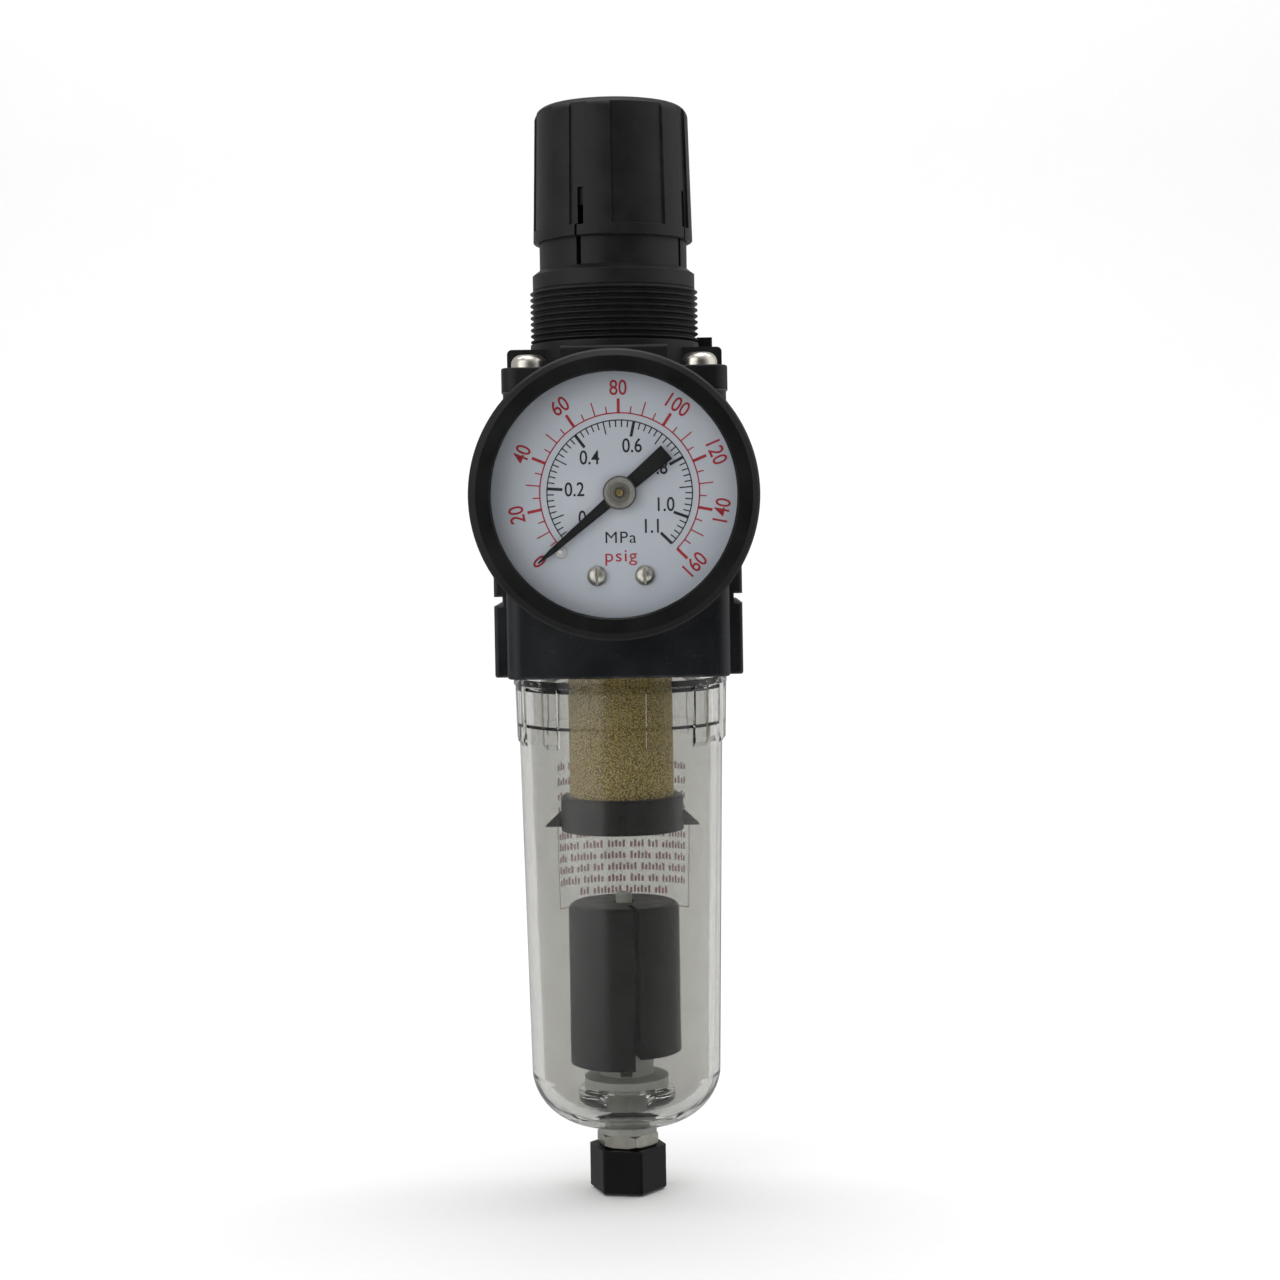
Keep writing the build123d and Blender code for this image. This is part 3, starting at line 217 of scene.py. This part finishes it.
def plated(name, colour, rough=0.16, brushed=(1, 1, 0.15), age=0.5):
    """Plated or bare metal: uneven polish, fine turning lines, dull stains in places."""
    f = Finish(name, Metallic=1.0)
    stain = f.remap(f.noise(1.8, detail=5), 0.48, 0.72)
    dull = tuple(c * 0.55 for c in colour)
    f.colour(f.mix(f.math("MULTIPLY", stain, age), colour, dull))
    lines = f.noise(0.12, detail=3, stretch=brushed)
    polish = f.remap(stain, 0, 1, rough, rough + 0.16)
    f.roughness(f.math("ADD", polish, f.remap(lines, 0.3, 0.7, -0.04, 0.06)))
    f.bump(lines, 0.006, 0.4, rounding=0.12)
    return f.material


def turned_hub():
    """The pointer's hub: nickel turned in rings round its axis, lighter and darker at set radii, with
    painted shade darkening its rim.
    """
    f = Finish("hub_nickel", Metallic=1.0)
    low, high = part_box("pointer_hub")
    axis = f.add("ShaderNodeVectorMath", operation="SUBTRACT")
    f.link(f.coordinates, axis.inputs[0])
    axis.inputs[1].default_value = (low + high) / 2
    flat = f.add("ShaderNodeVectorMath", operation="MULTIPLY")
    f.link(axis.outputs["Vector"], flat.inputs[0])
    flat.inputs[1].default_value = (1, 0, 1)
    radius = f.add("ShaderNodeVectorMath", operation="LENGTH")
    f.link(flat.outputs["Vector"], radius.inputs[0])
    ring_tones_and_rim_shade = f.add("ShaderNodeValToRGB")
    f.link(f.math("DIVIDE", radius.outputs["Value"], (high.x - low.x) / 2), ring_tones_and_rim_shade.inputs["Fac"])
    tone_and_shade_stops = ring_tones_and_rim_shade.color_ramp.elements
    # The stops at 0.93 and 1.0 paint shade on the rim; the others give lighter and darker rings at set
    # radii.
    tone_and_shade_stops[0].position, tone_and_shade_stops[0].color = 0.0, (0.10, 0.09, 0.06, 1)
    tone_and_shade_stops[1].position, tone_and_shade_stops[1].color = 1.0, (0.05, 0.05, 0.045, 1)
    for place, tone in ((0.22, (0.16, 0.15, 0.11)), (0.26, (0.03, 0.03, 0.025)), (0.31, (0.22, 0.21, 0.17)),
                        (0.52, (0.33, 0.32, 0.27)), (0.56, (0.12, 0.115, 0.1)), (0.6, (0.42, 0.415, 0.37)),
                        (0.86, (0.5, 0.49, 0.45)), (0.93, (0.2, 0.19, 0.17))):
        tone_and_shade_stops.new(place).color = (*tone, 1)
    stain = f.remap(f.noise(0.5, detail=4), 0.45, 0.7)
    f.colour(f.mix(f.math("MULTIPLY", stain, 0.35), ring_tones_and_rim_shade.outputs["Color"], (0.12, 0.11, 0.09)))
    lines = f.noise(0.1, detail=3)
    f.roughness(f.remap(lines, 0.3, 0.7, 0.34, 0.5))
    f.bump(lines, 0.006, 0.4, rounding=0.1)
    return f.material


def sintered_bronze():
    """Sintered bronze: packed grains of 0.15 to 0.25 mm, gold on their crowns, with painted shade darkening
    the gaps between them.
    """
    f = Finish("sintered_bronze", Metallic=0.08, Specular_IOR_Level=0.5)
    grains = f.cells(0.24)
    small = f.cells(0.15)
    crown = f.remap(grains.outputs["Distance"], 0.15, 0.75, 1, 0)
    fine = f.remap(small.outputs["Distance"], 0.1, 0.7, 1, 0)
    height = f.math("ADD", f.math("MULTIPLY", crown, 0.7), f.math("MULTIPLY", fine, 0.4))
    tone = f.mix(f.remap(f.noise(0.5, detail=3), 0.35, 0.65), (0.86, 0.66, 0.18), (1.0, 0.88, 0.42))
    pale = f.mix(f.remap(f.noise(0.32, detail=1), 0.6, 0.7), tone, (1.0, 0.93, 0.62))
    # Colour follows grain height: the dark tone in the low gaps is painted shade.
    f.colour(f.mix(f.remap(height, 0.2, 0.7), (0.26, 0.17, 0.04), pale))
    f.roughness(f.remap(height, 0.2, 0.9, 0.75, 0.42))
    f.bump(height, 0.1, 0.8)
    return f.material


def rubber_like(name, shade, gloss, shine=0.3):
    """Rubber or soft black plastic: matt, with faint bloom."""
    f = Finish(name, Specular_IOR_Level=shine)
    bloom = f.noise(2.2, detail=4)
    light = tuple(c * 2.0 for c in shade)
    f.colour(f.mix(f.remap(bloom, 0.35, 0.75), shade, light))
    f.roughness(f.remap(bloom, 0.3, 0.7, gloss, gloss + 0.14))
    f.bump(f.noise(0.3, detail=3), 0.012, 0.5, rounding=0.15)
    return f.material


def acetal(name, low, high):
    """White acetal: slightly see-through, waxy, faintly cloudy."""
    f = Finish(name, Specular_IOR_Level=0.45, Subsurface_Weight=0.25)
    f.shader.inputs["Subsurface Radius"].default_value = (0.0012, 0.0011, 0.0009)
    f.shader.inputs["Subsurface Scale"].default_value = 1.0
    clouds = f.noise(1.6, detail=4)
    f.colour(f.mix(f.remap(clouds, 0.3, 0.7), low, high))
    f.roughness(f.remap(clouds, 0.3, 0.7, 0.3, 0.42))
    f.bump(f.noise(0.35, detail=2), 0.01, 0.4, rounding=0.12)
    return f.material


def clear_plastic(name, colour, passed, rough, ior, wave, stained=None, coat=0.0):
    """Glass or clear plastic that lets the lamps through, with moulding waves and faint haze."""
    f = Finish(name, Transmission_Weight=1.0, IOR=ior, Coat_Weight=coat, Coat_Roughness=0.05)
    haze = f.noise(5.0, detail=5)
    if stained:
        f.colour(f.mix(f.remap(haze, 0.45, 0.75), colour, stained))
    else:
        f.shader.inputs["Base Color"].default_value = (*colour, 1)
    f.roughness(f.remap(haze, 0.4, 0.75, rough, rough * 2.2))
    f.bump(f.noise(3.5, detail=1, stretch=(1, 1, 0.3)), wave, 0.5)
    rays = f.add("ShaderNodeLightPath")
    through = f.add("ShaderNodeBsdfTransparent")
    through.inputs["Color"].default_value = (*passed, 1)
    choose = f.add("ShaderNodeMixShader")
    f.link(rays.outputs["Is Shadow Ray"], choose.inputs["Fac"])
    f.link(f.shader.outputs["BSDF"], choose.inputs[1])
    f.link(through.outputs["BSDF"], choose.inputs[2])
    f.link(choose.outputs["Shader"], f.output.inputs["Surface"])
    return f.material


def dial_enamel():
    """Gauge dial: satin white sheet metal, fine spray texture, a touch of cool grey."""
    f = Finish("dial_enamel", Specular_IOR_Level=0.4)
    spray = f.noise(0.2, detail=2)
    clouds = f.noise(12.0, detail=2)
    f.colour(f.mix(f.remap(clouds, 0.3, 0.7), (0.59, 0.63, 0.69), (0.66, 0.695, 0.745)))
    f.roughness(f.remap(spray, 0.3, 0.7, 0.42, 0.5))
    f.bump(spray, 0.005, 0.5)
    return f.material


def ink(name, colour, thin, rough=0.5, cover=1.0):
    """Printed ink, a little uneven in its cover."""
    f = Finish(name, Specular_IOR_Level=0.35, Alpha=cover)
    uneven = f.noise(0.35, detail=3)
    f.colour(f.mix(f.remap(uneven, 0.35, 0.7), colour, thin))
    f.roughness(f.remap(uneven, 0.3, 0.7, rough, rough + 0.1))
    return f.material


def floor_paper():
    """Matt studio paper, nearly white, with the faintest tooth."""
    f = Finish("studio_paper", Specular_IOR_Level=0.1)
    tooth = f.noise(1.5, detail=3)
    f.colour(f.mix(tooth, (0.90, 0.90, 0.90), (0.93, 0.93, 0.93)))
    f.roughness(f.remap(tooth, 0.3, 0.7, 0.9, 0.98))
    return f.material


NICKEL = (0.80, 0.76, 0.68)
BRASS = (0.78, 0.57, 0.27)
STEEL = (0.58, 0.58, 0.58)

FINISHES = {
    "black_nylon": moulded_black("black_nylon_moulded"),
    "black_paint": painted_casting(),
    "nickel": plated("nickel_plate", NICKEL, rough=0.15),
    "steel": plated("spring_steel", STEEL, rough=0.24),
    "brass": plated("machined_brass", BRASS, rough=0.22),
    "aluminium": plated("turned_aluminium", (0.78, 0.78, 0.79), rough=0.3),
    "rubber": rubber_like("nitrile_rubber", (0.012, 0.012, 0.013), 0.55),
    "sintered_bronze": sintered_bronze(),
    "baffle_black": rubber_like("baffle_plastic", (0.006, 0.0063, 0.0072), 0.34, shine=0.2),
    "bowl_clear": clear_plastic(
        "bowl_polycarbonate", (0.575, 0.573, 0.55), (0.93, 0.93, 0.92), rough=0.035, ior=1.25, wave=0.05,
        stained=(0.53, 0.527, 0.505), coat=0.45,
    ),
    "white_acetal": acetal("white_acetal", (0.52, 0.52, 0.50), (0.60, 0.60, 0.575)),
    "case_black": moulded_black(
        "gauge_enamel", shade=0.0055, gloss=0.33, scuffs_and_sheen=0.22, texture=0.006, cool=1.05,
    ),
    "lens_clear": clear_plastic(
        "lens_acrylic", (0.97, 0.975, 0.98), (0.96, 0.965, 0.97), rough=0.008, ior=1.45, wave=0.012,
    ),
    "dial_white": dial_enamel(),
    "pointer_black": moulded_black(
        "pointer_paint", shade=0.009, gloss=0.4, scuffs_and_sheen=0.1, texture=0.004, cool=1.05,
    ),
}
RED_INK = ink("scale_ink_red", (0.42, 0.018, 0.03), (0.52, 0.045, 0.055))
BLACK_INK = ink("scale_ink_black", (0.014, 0.014, 0.017), (0.03, 0.03, 0.034))
LABEL_INK = ink("bowl_ink_pink", (0.78, 0.13, 0.19), (0.84, 0.28, 0.33), rough=0.6, cover=0.55)

SPECIAL = {
    "pointer_hub": turned_hub(),
    "dial_screws": plated("dial_screw_nickel", (0.62, 0.60, 0.53), rough=0.3),
    "stop_pin": plated("stop_pin_steel", (0.86, 0.86, 0.84), rough=0.5, age=0.2),
    "drain_nut": plated("drain_nickel", (0.38, 0.37, 0.32), rough=0.28, age=0.4),
    "drain_knob": moulded_black("drain_nylon", shade=0.003),
    "bonnet_screws": plated("screw_nickel", NICKEL, rough=0.26),
    "drain_washer": acetal("washer_acetal", (0.23, 0.232, 0.215), (0.30, 0.302, 0.28)),
}

for node_name, node in NODES.items():
    for place in node.material_slots:
        place.material = SPECIAL.get(node_name) or FINISHES[place.material.name]


# ---------------------------------------------------------------- mesh helpers
def piece_from(name, mesh, finish, body="housing"):
    """A new visible piece with its material and body."""
    piece = bpy.data.objects.new(name, mesh)
    bpy.context.scene.collection.objects.link(piece)
    mesh.materials.clear()
    mesh.materials.append(finish)
    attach(piece, body)
    return piece


def mesh_of(bm, name):
    mesh = bpy.data.meshes.new(name)
    bmesh.ops.recalc_face_normals(bm, faces=bm.faces)
    bm.to_mesh(mesh)
    bm.free()
    return mesh


def add_slab(bm, outline, place, depth):
    """A closed slab of that depth: outline holds flat points, place maps (u, v, height) to space."""
    front = [bm.verts.new(place(u, v, depth)) for u, v in outline]
    back = [bm.verts.new(place(u, v, 0.0)) for u, v in outline]
    bm.faces.new(front)
    bm.faces.new(reversed(back))
    for i in range(len(outline)):
        j = (i + 1) % len(outline)
        bm.faces.new((front[i], back[i], back[j], front[j]))


# ---------------------------------------------------------------- gauge dial print
DIAL_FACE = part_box("gauge_dial")[0].y
HUB_LOW, HUB_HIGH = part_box("pointer_hub")
AXIS_X = (HUB_LOW.x + HUB_HIGH.x) / 2
AXIS_Z = (HUB_LOW.z + HUB_HIGH.z) / 2
INK_DEPTH = 0.02 * MM
SCALE_START = 225.0          # degrees from +X, at zero
SCALE_SWEEP = 270.0
ZERO_MARK = 219.7            # both zero marks lie under the resting pointer
LATE = SCALE_START - ZERO_MARK
PSI_FULL, PSI_R, PSI_OUTER = 160, 11.87, 14.0
MPA_R = 10.8
MPA_STEP_DEGREES = 49.09 / 10     # one 0.02 step
MPA_STEPS = 55
FINE, BOLD = 0.19, 0.44      # line widths
STROKE = 0.03                # how much each letter stroke is thickened on both sides
RED_NUMERAL_R = 15.5
RED_NUMERAL_SIZE = 3.2
BLACK_NUMERAL_SIZE = 2.95
MPA_NUMERALS = {
    "0": (-5.6, -3.7), "0.2": (-6.7, 0.5), "0.4": (-4.4, 5.2), "0.6": (1.95, 6.9),
    "0.8": (5.7, 3.6), "1.0": (6.65, -1.9), "1.1": (4.7, -5.1),
}


def on_dial(u, v, height):
    """A point on the dial, in millimetres from the pointer's axis, raised by height metres."""
    return Vector((AXIS_X + u * MM, DIAL_FACE - height, AXIS_Z + v * MM))


def add_ray(bm, angle, inner, outer, width):
    """A scale mark: a thin bar along the radius."""
    c, s = math.cos(math.radians(angle)), math.sin(math.radians(angle))
    corners = ((inner, -width / 2), (outer, -width / 2), (outer, width / 2), (inner, width / 2))
    add_slab(bm, [(r * c - t * s, r * s + t * c) for r, t in corners], on_dial, INK_DEPTH)


def add_arc(bm, radius, start, sweep, width, steps=180):
    """A scale arc, clockwise from start."""
    angles = [math.radians(start - sweep * i / steps) for i in range(steps + 1)]
    for i in range(steps):
        a, b = angles[i], angles[i + 1]
        inner, outer = radius - width / 2, radius + width / 2
        corners = ((inner, a), (outer, a), (outer, b), (inner, b))
        add_slab(bm, [(r * math.cos(t), r * math.sin(t)) for r, t in corners], on_dial, INK_DEPTH)


def add_text(bm, words, u, v, size, turn=0.0, squeeze=0.86, stroke=STROKE, spacing=1.0):
    """Flat lettering in Blender's own font, centred at (u, v) and turned by turn degrees."""
    curve = bpy.data.curves.new("lettering", "FONT")
    curve.body = words
    curve.size = size * MM
    curve.align_x = "CENTER"
    curve.align_y = "CENTER"
    curve.extrude = INK_DEPTH / 2
    curve.offset = stroke * MM
    curve.space_character = spacing
    curve.resolution_u = 6
    holder = bpy.data.objects.new("lettering", curve)
    bpy.context.scene.collection.objects.link(holder)
    bpy.context.view_layer.update()
    mesh = bpy.data.meshes.new_from_object(holder.evaluated_get(bpy.context.evaluated_depsgraph_get()))
    upright = Matrix.Rotation(math.radians(90), 4, "X")
    place = Matrix.Translation(on_dial(u, v, INK_DEPTH / 2))
    turned = Matrix.Rotation(math.radians(-turn), 4, "Y")
    mesh.transform(place @ turned @ upright @ Matrix.Diagonal((squeeze, 1, 1, 1)))
    bm.from_mesh(mesh)
    bpy.data.objects.remove(holder)
    bpy.data.curves.remove(curve)
    bpy.data.meshes.remove(mesh)


def psi_angle(value):
    return SCALE_START - SCALE_SWEEP * value / PSI_FULL if value else ZERO_MARK


def red_print():
    bm = bmesh.new()
    add_arc(bm, PSI_R, ZERO_MARK, SCALE_SWEEP - LATE, 0.2)
    for value in range(0, PSI_FULL + 1, 5):
        wide = BOLD if value % 20 == 0 else FINE
        outer = PSI_OUTER if value % 10 == 0 else PSI_R + 1.06
        add_ray(bm, psi_angle(value), PSI_R, outer, wide)
    for value in range(0, PSI_FULL + 1, 20):
        angle = psi_angle(value)
        turn = angle - 90 if value <= 120 else angle + 90
        add_text(bm, str(value), RED_NUMERAL_R * math.cos(math.radians(angle)),
                 RED_NUMERAL_R * math.sin(math.radians(angle)), RED_NUMERAL_SIZE, turn, squeeze=0.84)
    add_text(bm, "psig", 0.0, -9.4, 2.6, squeeze=1.1, stroke=0.01, spacing=1.12)
    return piece_from("dial_print_red", mesh_of(bm, "dial_print_red"), RED_INK)


def black_print():
    bm = bmesh.new()
    add_arc(bm, MPA_R, ZERO_MARK, MPA_STEP_DEGREES * MPA_STEPS - LATE, 0.18)
    for step in (0, *range(2, MPA_STEPS + 1)):
        length = 2.3 if step % 10 == 0 or step == MPA_STEPS else 1.9 if step % 5 == 0 else 1.03
        width = BOLD if length > 2 else FINE
        angle = SCALE_START - MPA_STEP_DEGREES * step if step else ZERO_MARK
        add_ray(bm, angle, MPA_R - length, MPA_R, width)
    for words, (u, v) in MPA_NUMERALS.items():
        add_text(bm, words, u, v, BLACK_NUMERAL_SIZE, squeeze=0.84)
    add_text(bm, "MPa", 0.0, -6.7, 2.45, squeeze=1.08, stroke=0.0, spacing=1.1)
    return piece_from("dial_print_black", mesh_of(bm, "dial_print_black"), BLACK_INK)


# ---------------------------------------------------------------- print on the back of the bowl
BOWL_TOP_R, BOWL_FOOT_R = 17.2, 15.85
BOWL_TOP_Z, BOWL_FOOT_Z = -65.4, -121.0
LABEL_HALF_ANGLE = 47.0
LABEL_ROWS = (-71.5, -74.0, -76.5, -79.0, -83.4, -85.4, -87.4, -89.4, -91.4, -93.4)
ROW_HEIGHT = 1.25
TICK, TICK_GAP, BLOCK_GAP = 1.5, 0.85, 2.4      # degrees round the bowl


def bowl_radius(z):
    share = (BOWL_TOP_Z - z) / (BOWL_TOP_Z - BOWL_FOOT_Z)
    return BOWL_TOP_R + (BOWL_FOOT_R - BOWL_TOP_R) * share


def on_bowl(angle, z, height):
    """A point on the bowl's outer wall: degrees from +Y, height in metres above the wall."""
    r = bowl_radius(z) * MM + 0.004 * MM + height
    return Vector((r * math.sin(math.radians(angle)), r * math.cos(math.radians(angle)), z * MM))


def add_bar(bm, start, end, z, height):
    """One printed bar round the bowl's wall, between two angles."""
    steps = max(1, round((end - start) / 2.0))
    for i in range(steps):
        a = start + (end - start) * i / steps
        b = start + (end - start) * (i + 1) / steps
        add_slab(bm, [(a, z), (b, z), (b, z + height), (a, z + height)], on_bowl, 0.015 * MM)


def bowl_print():
    """Rows of short ticks in blocks, a stand-in for the printed panel, with thin lines round them."""
    bm = bmesh.new()
    for row, z in enumerate(LABEL_ROWS):
        inset = 16.0 if row == len(LABEL_ROWS) - 1 else 0.0
        angle = -LABEL_HALF_ANGLE + 1.5 + inset
        block = row
        while angle < LABEL_HALF_ANGLE - inset - 3:
            for tick in range(3 + (block * 5 + row * 3) % 6):
                if angle < LABEL_HALF_ANGLE - inset - 3:
                    rise = 0.75 + 0.25 * ((tick + block) % 2)
                    add_bar(bm, angle, angle + TICK, z, ROW_HEIGHT * rise)
                angle += TICK + TICK_GAP
            angle += BLOCK_GAP
            block += 1
    add_bar(bm, -LABEL_HALF_ANGLE, LABEL_HALF_ANGLE, -95.4, 0.16)
    for side in (-LABEL_HALF_ANGLE, LABEL_HALF_ANGLE):
        add_bar(bm, side - 0.3, side + 0.3, -95.4, 14.4)
    return piece_from("bowl_print", mesh_of(bm, "bowl_print"), LABEL_INK)


# ---------------------------------------------------------------- threads in the side ports
PORT_WALL_R = 6.0
PORT_CREST_R = 5.45
PORT_PITCH = 1.337
PORT_Z = -29.0
PORT_MOUTH_X, PORT_DEEP_X = 19.2, 12.6
THREAD_STEPS = 48
FADE_STEPS = 20              # the crest rises and dies out over these
WALL_GAP = 0.004


def port_thread(name, side):
    """The helical crest of a pipe thread inside one side port."""
    bm = bmesh.new()
    turns = (PORT_MOUTH_X - PORT_DEEP_X - PORT_PITCH) / PORT_PITCH
    count = int(turns * THREAD_STEPS)
    profile = ((-0.46, 0.0), (-0.10, 1.0), (0.10, 1.0), (0.46, 0.0))
    rows = []
    for i in range(count + 1):
        angle = 2 * math.pi * i / THREAD_STEPS
        along = PORT_DEEP_X + PORT_PITCH / 2 + PORT_PITCH * i / THREAD_STEPS
        fade = min(1.0, i / FADE_STEPS, (count - i) / FADE_STEPS)
        ring = []
        for offset, rise in profile:
            r = PORT_WALL_R - WALL_GAP - (PORT_WALL_R - PORT_CREST_R) * rise * fade
            x = (along + offset * PORT_PITCH) * side
            y, z = r * math.cos(angle * side), PORT_Z + r * math.sin(angle * side)
            ring.append(bm.verts.new((x * MM, y * MM, z * MM)))
        rows.append(ring)
    for a, b in zip(rows, rows[1:]):
        for i in range(4):
            j = (i + 1) % 4
            bm.faces.new((a[i], a[j], b[j], b[i]))
    bm.faces.new(rows[0])
    bm.faces.new(reversed(rows[-1]))
    return piece_from(name, mesh_of(bm, name), FINISHES["aluminium"])


# ---------------------------------------------------------------- studio
AIR_SEEN, AIR_LIGHT, AIR_MIRRORED, AIR_FRONT = 1.0, 0.55, 0.42, 0.05
FRONT_EDGE = (-0.95, -0.55)     # Y part of a mirrored ray, between which the dark front air ends
LEFT_POWER, RIGHT_POWER, TOP_POWER, WASH_POWER = 1.9, 0.7, 2.6, 13.0


def fade_edges(lamp, margin):
    """Let an area lamp's light fall off towards its edges, over this share of its width and height."""
    lamp.use_nodes = True
    tree = lamp.node_tree
    emission = tree.nodes["Emission"]
    surface = tree.nodes.new("ShaderNodeNewGeometry")
    split = tree.nodes.new("ShaderNodeSeparateXYZ")
    tree.links.new(surface.outputs["Parametric"], split.inputs["Vector"])
    levels = []
    for axis in ("X", "Y"):
        centred = tree.nodes.new("ShaderNodeMath")
        centred.operation = "PINGPONG"
        centred.inputs[1].default_value = 0.5
        tree.links.new(split.outputs[axis], centred.inputs[0])
        ramp = tree.nodes.new("ShaderNodeMapRange")
        ramp.interpolation_type = "SMOOTHSTEP"
        ramp.inputs["From Max"].default_value = margin
        tree.links.new(centred.outputs["Value"], ramp.inputs["Value"])
        levels.append(ramp.outputs["Result"])
    both = tree.nodes.new("ShaderNodeMath")
    both.operation = "MULTIPLY"
    for place, level in enumerate(levels):
        tree.links.new(level, both.inputs[place])
    tree.links.new(both.outputs["Value"], emission.inputs["Strength"])


def add_area(name, place, aim, width, height, power, soft=0.25):
    lamp = bpy.data.lights.new(name, "AREA")
    lamp.shape = "RECTANGLE"
    lamp.size, lamp.size_y = width, height
    lamp.energy = power
    if soft:
        fade_edges(lamp, soft)
    holder = bpy.data.objects.new(name, lamp)
    holder.location = place
    holder.rotation_euler = (Vector(aim) - Vector(place)).to_track_quat("-Z", "Y").to_euler()
    bpy.context.scene.collection.objects.link(holder)


def studio_air():
    """Even white air. Mirrored rays see it dim, and dark in front, so black parts stay black."""
    world = bpy.data.worlds.new("studio_air")
    bpy.context.scene.world = world
    world.use_nodes = True
    world.cycles.sampling_method = "NONE"
    tree = world.node_tree
    sky = tree.nodes["Background"]
    sky.inputs["Color"].default_value = (1, 1, 1, 1)
    way = tree.nodes.new("ShaderNodeTexCoord")
    split = tree.nodes.new("ShaderNodeSeparateXYZ")
    tree.links.new(way.outputs["Generated"], split.inputs["Vector"])
    front = tree.nodes.new("ShaderNodeMapRange")
    front.interpolation_type = "SMOOTHSTEP"
    front.inputs["From Min"].default_value, front.inputs["From Max"].default_value = FRONT_EDGE
    front.inputs["To Min"].default_value = AIR_FRONT
    front.inputs["To Max"].default_value = AIR_MIRRORED
    tree.links.new(split.outputs["Y"], front.inputs["Value"])
    rays = tree.nodes.new("ShaderNodeLightPath")
    mirrored = tree.nodes.new("ShaderNodeMix")
    tree.links.new(rays.outputs["Glossy Depth"], mirrored.inputs[0])
    mirrored.inputs[2].default_value = AIR_SEEN
    tree.links.new(front.outputs["Result"], mirrored.inputs[3])
    soft = tree.nodes.new("ShaderNodeMix")
    tree.links.new(rays.outputs["Diffuse Depth"], soft.inputs[0])
    tree.links.new(mirrored.outputs[0], soft.inputs[2])
    soft.inputs[3].default_value = AIR_LIGHT
    tree.links.new(soft.outputs[0], sky.inputs["Strength"])


def studio():
    """White paper sweep under and behind the part, soft boxes beside and above it, a wash on the paper."""
    ground = cad_low.z - 0.0002
    bm = bmesh.new()
    back, bend, half, height = 1.1, 0.35, 2.2, 2.0
    profile = [(-1.4, ground)]
    profile += [(back - bend + bend * math.sin(a), ground + bend * (1 - math.cos(a)))
                for a in (math.radians(7.5 * k) for k in range(13))]
    profile += [(back, ground + height)]
    left = [bm.verts.new((-half, y, z)) for y, z in profile]
    right = [bm.verts.new((half, y, z)) for y, z in profile]
    for i in range(len(profile) - 1):
        bm.faces.new((left[i], right[i], right[i + 1], left[i + 1]))
    mesh = mesh_of(bm, "studio_floor")
    for face in mesh.polygons:
        face.use_smooth = True
    sweep = bpy.data.objects.new("studio_floor", mesh)
    mesh.materials.append(floor_paper())
    bpy.context.scene.collection.objects.link(sweep)
    sweep.visible_glossy = False
    middle = (0, 0, -0.05)
    add_area("softbox_left", (-0.34, -0.37, 0.05), middle, 0.62, 0.85, LEFT_POWER)
    add_area("softbox_right", (0.33, -0.01, 0.05), middle, 0.50, 0.85, RIGHT_POWER)
    add_area("softbox_top", (0.0, -0.15, 0.80), middle, 0.7, 0.5, TOP_POWER)
    add_area("backdrop_wash", (0.0, 0.30, 1.30), (0.0, 1.1, 0.25), 2.4, 0.4, WASH_POWER, soft=0)
    studio_air()


LENS_MM, SENSOR_MM = 64.8, 36.0
CAMERA_PLACE = (0.0036, -0.387, -0.029)      # level with the side ports
TILT_DOWN, ROLL = 1.43, -0.94                # degrees
VIEW_SHIFT = -0.045                          # the rest of the look downwards, in picture widths
NEAREST = 0.01


def camera():
    """A 65 mm lens in front of the part, at the photograph's angle."""
    data = bpy.data.cameras.new("camera")
    data.sensor_width = SENSOR_MM
    data.lens = LENS_MM
    data.clip_start = NEAREST
    data.shift_y = VIEW_SHIFT
    holder = bpy.data.objects.new("camera", data)
    bpy.context.scene.collection.objects.link(holder)
    tilt = Matrix.Rotation(math.radians(90 - TILT_DOWN), 4, "X")
    roll = Matrix.Rotation(math.radians(ROLL), 4, "Z")
    holder.matrix_world = Matrix.Translation(CAMERA_PLACE) @ tilt @ roll
    bpy.context.scene.camera = holder


camera()
studio()
bpy.context.scene.view_settings.view_transform = "Standard"
red_print()
black_print()
bowl_print()
port_thread("inlet_thread", -1)
port_thread("outlet_thread", 1)
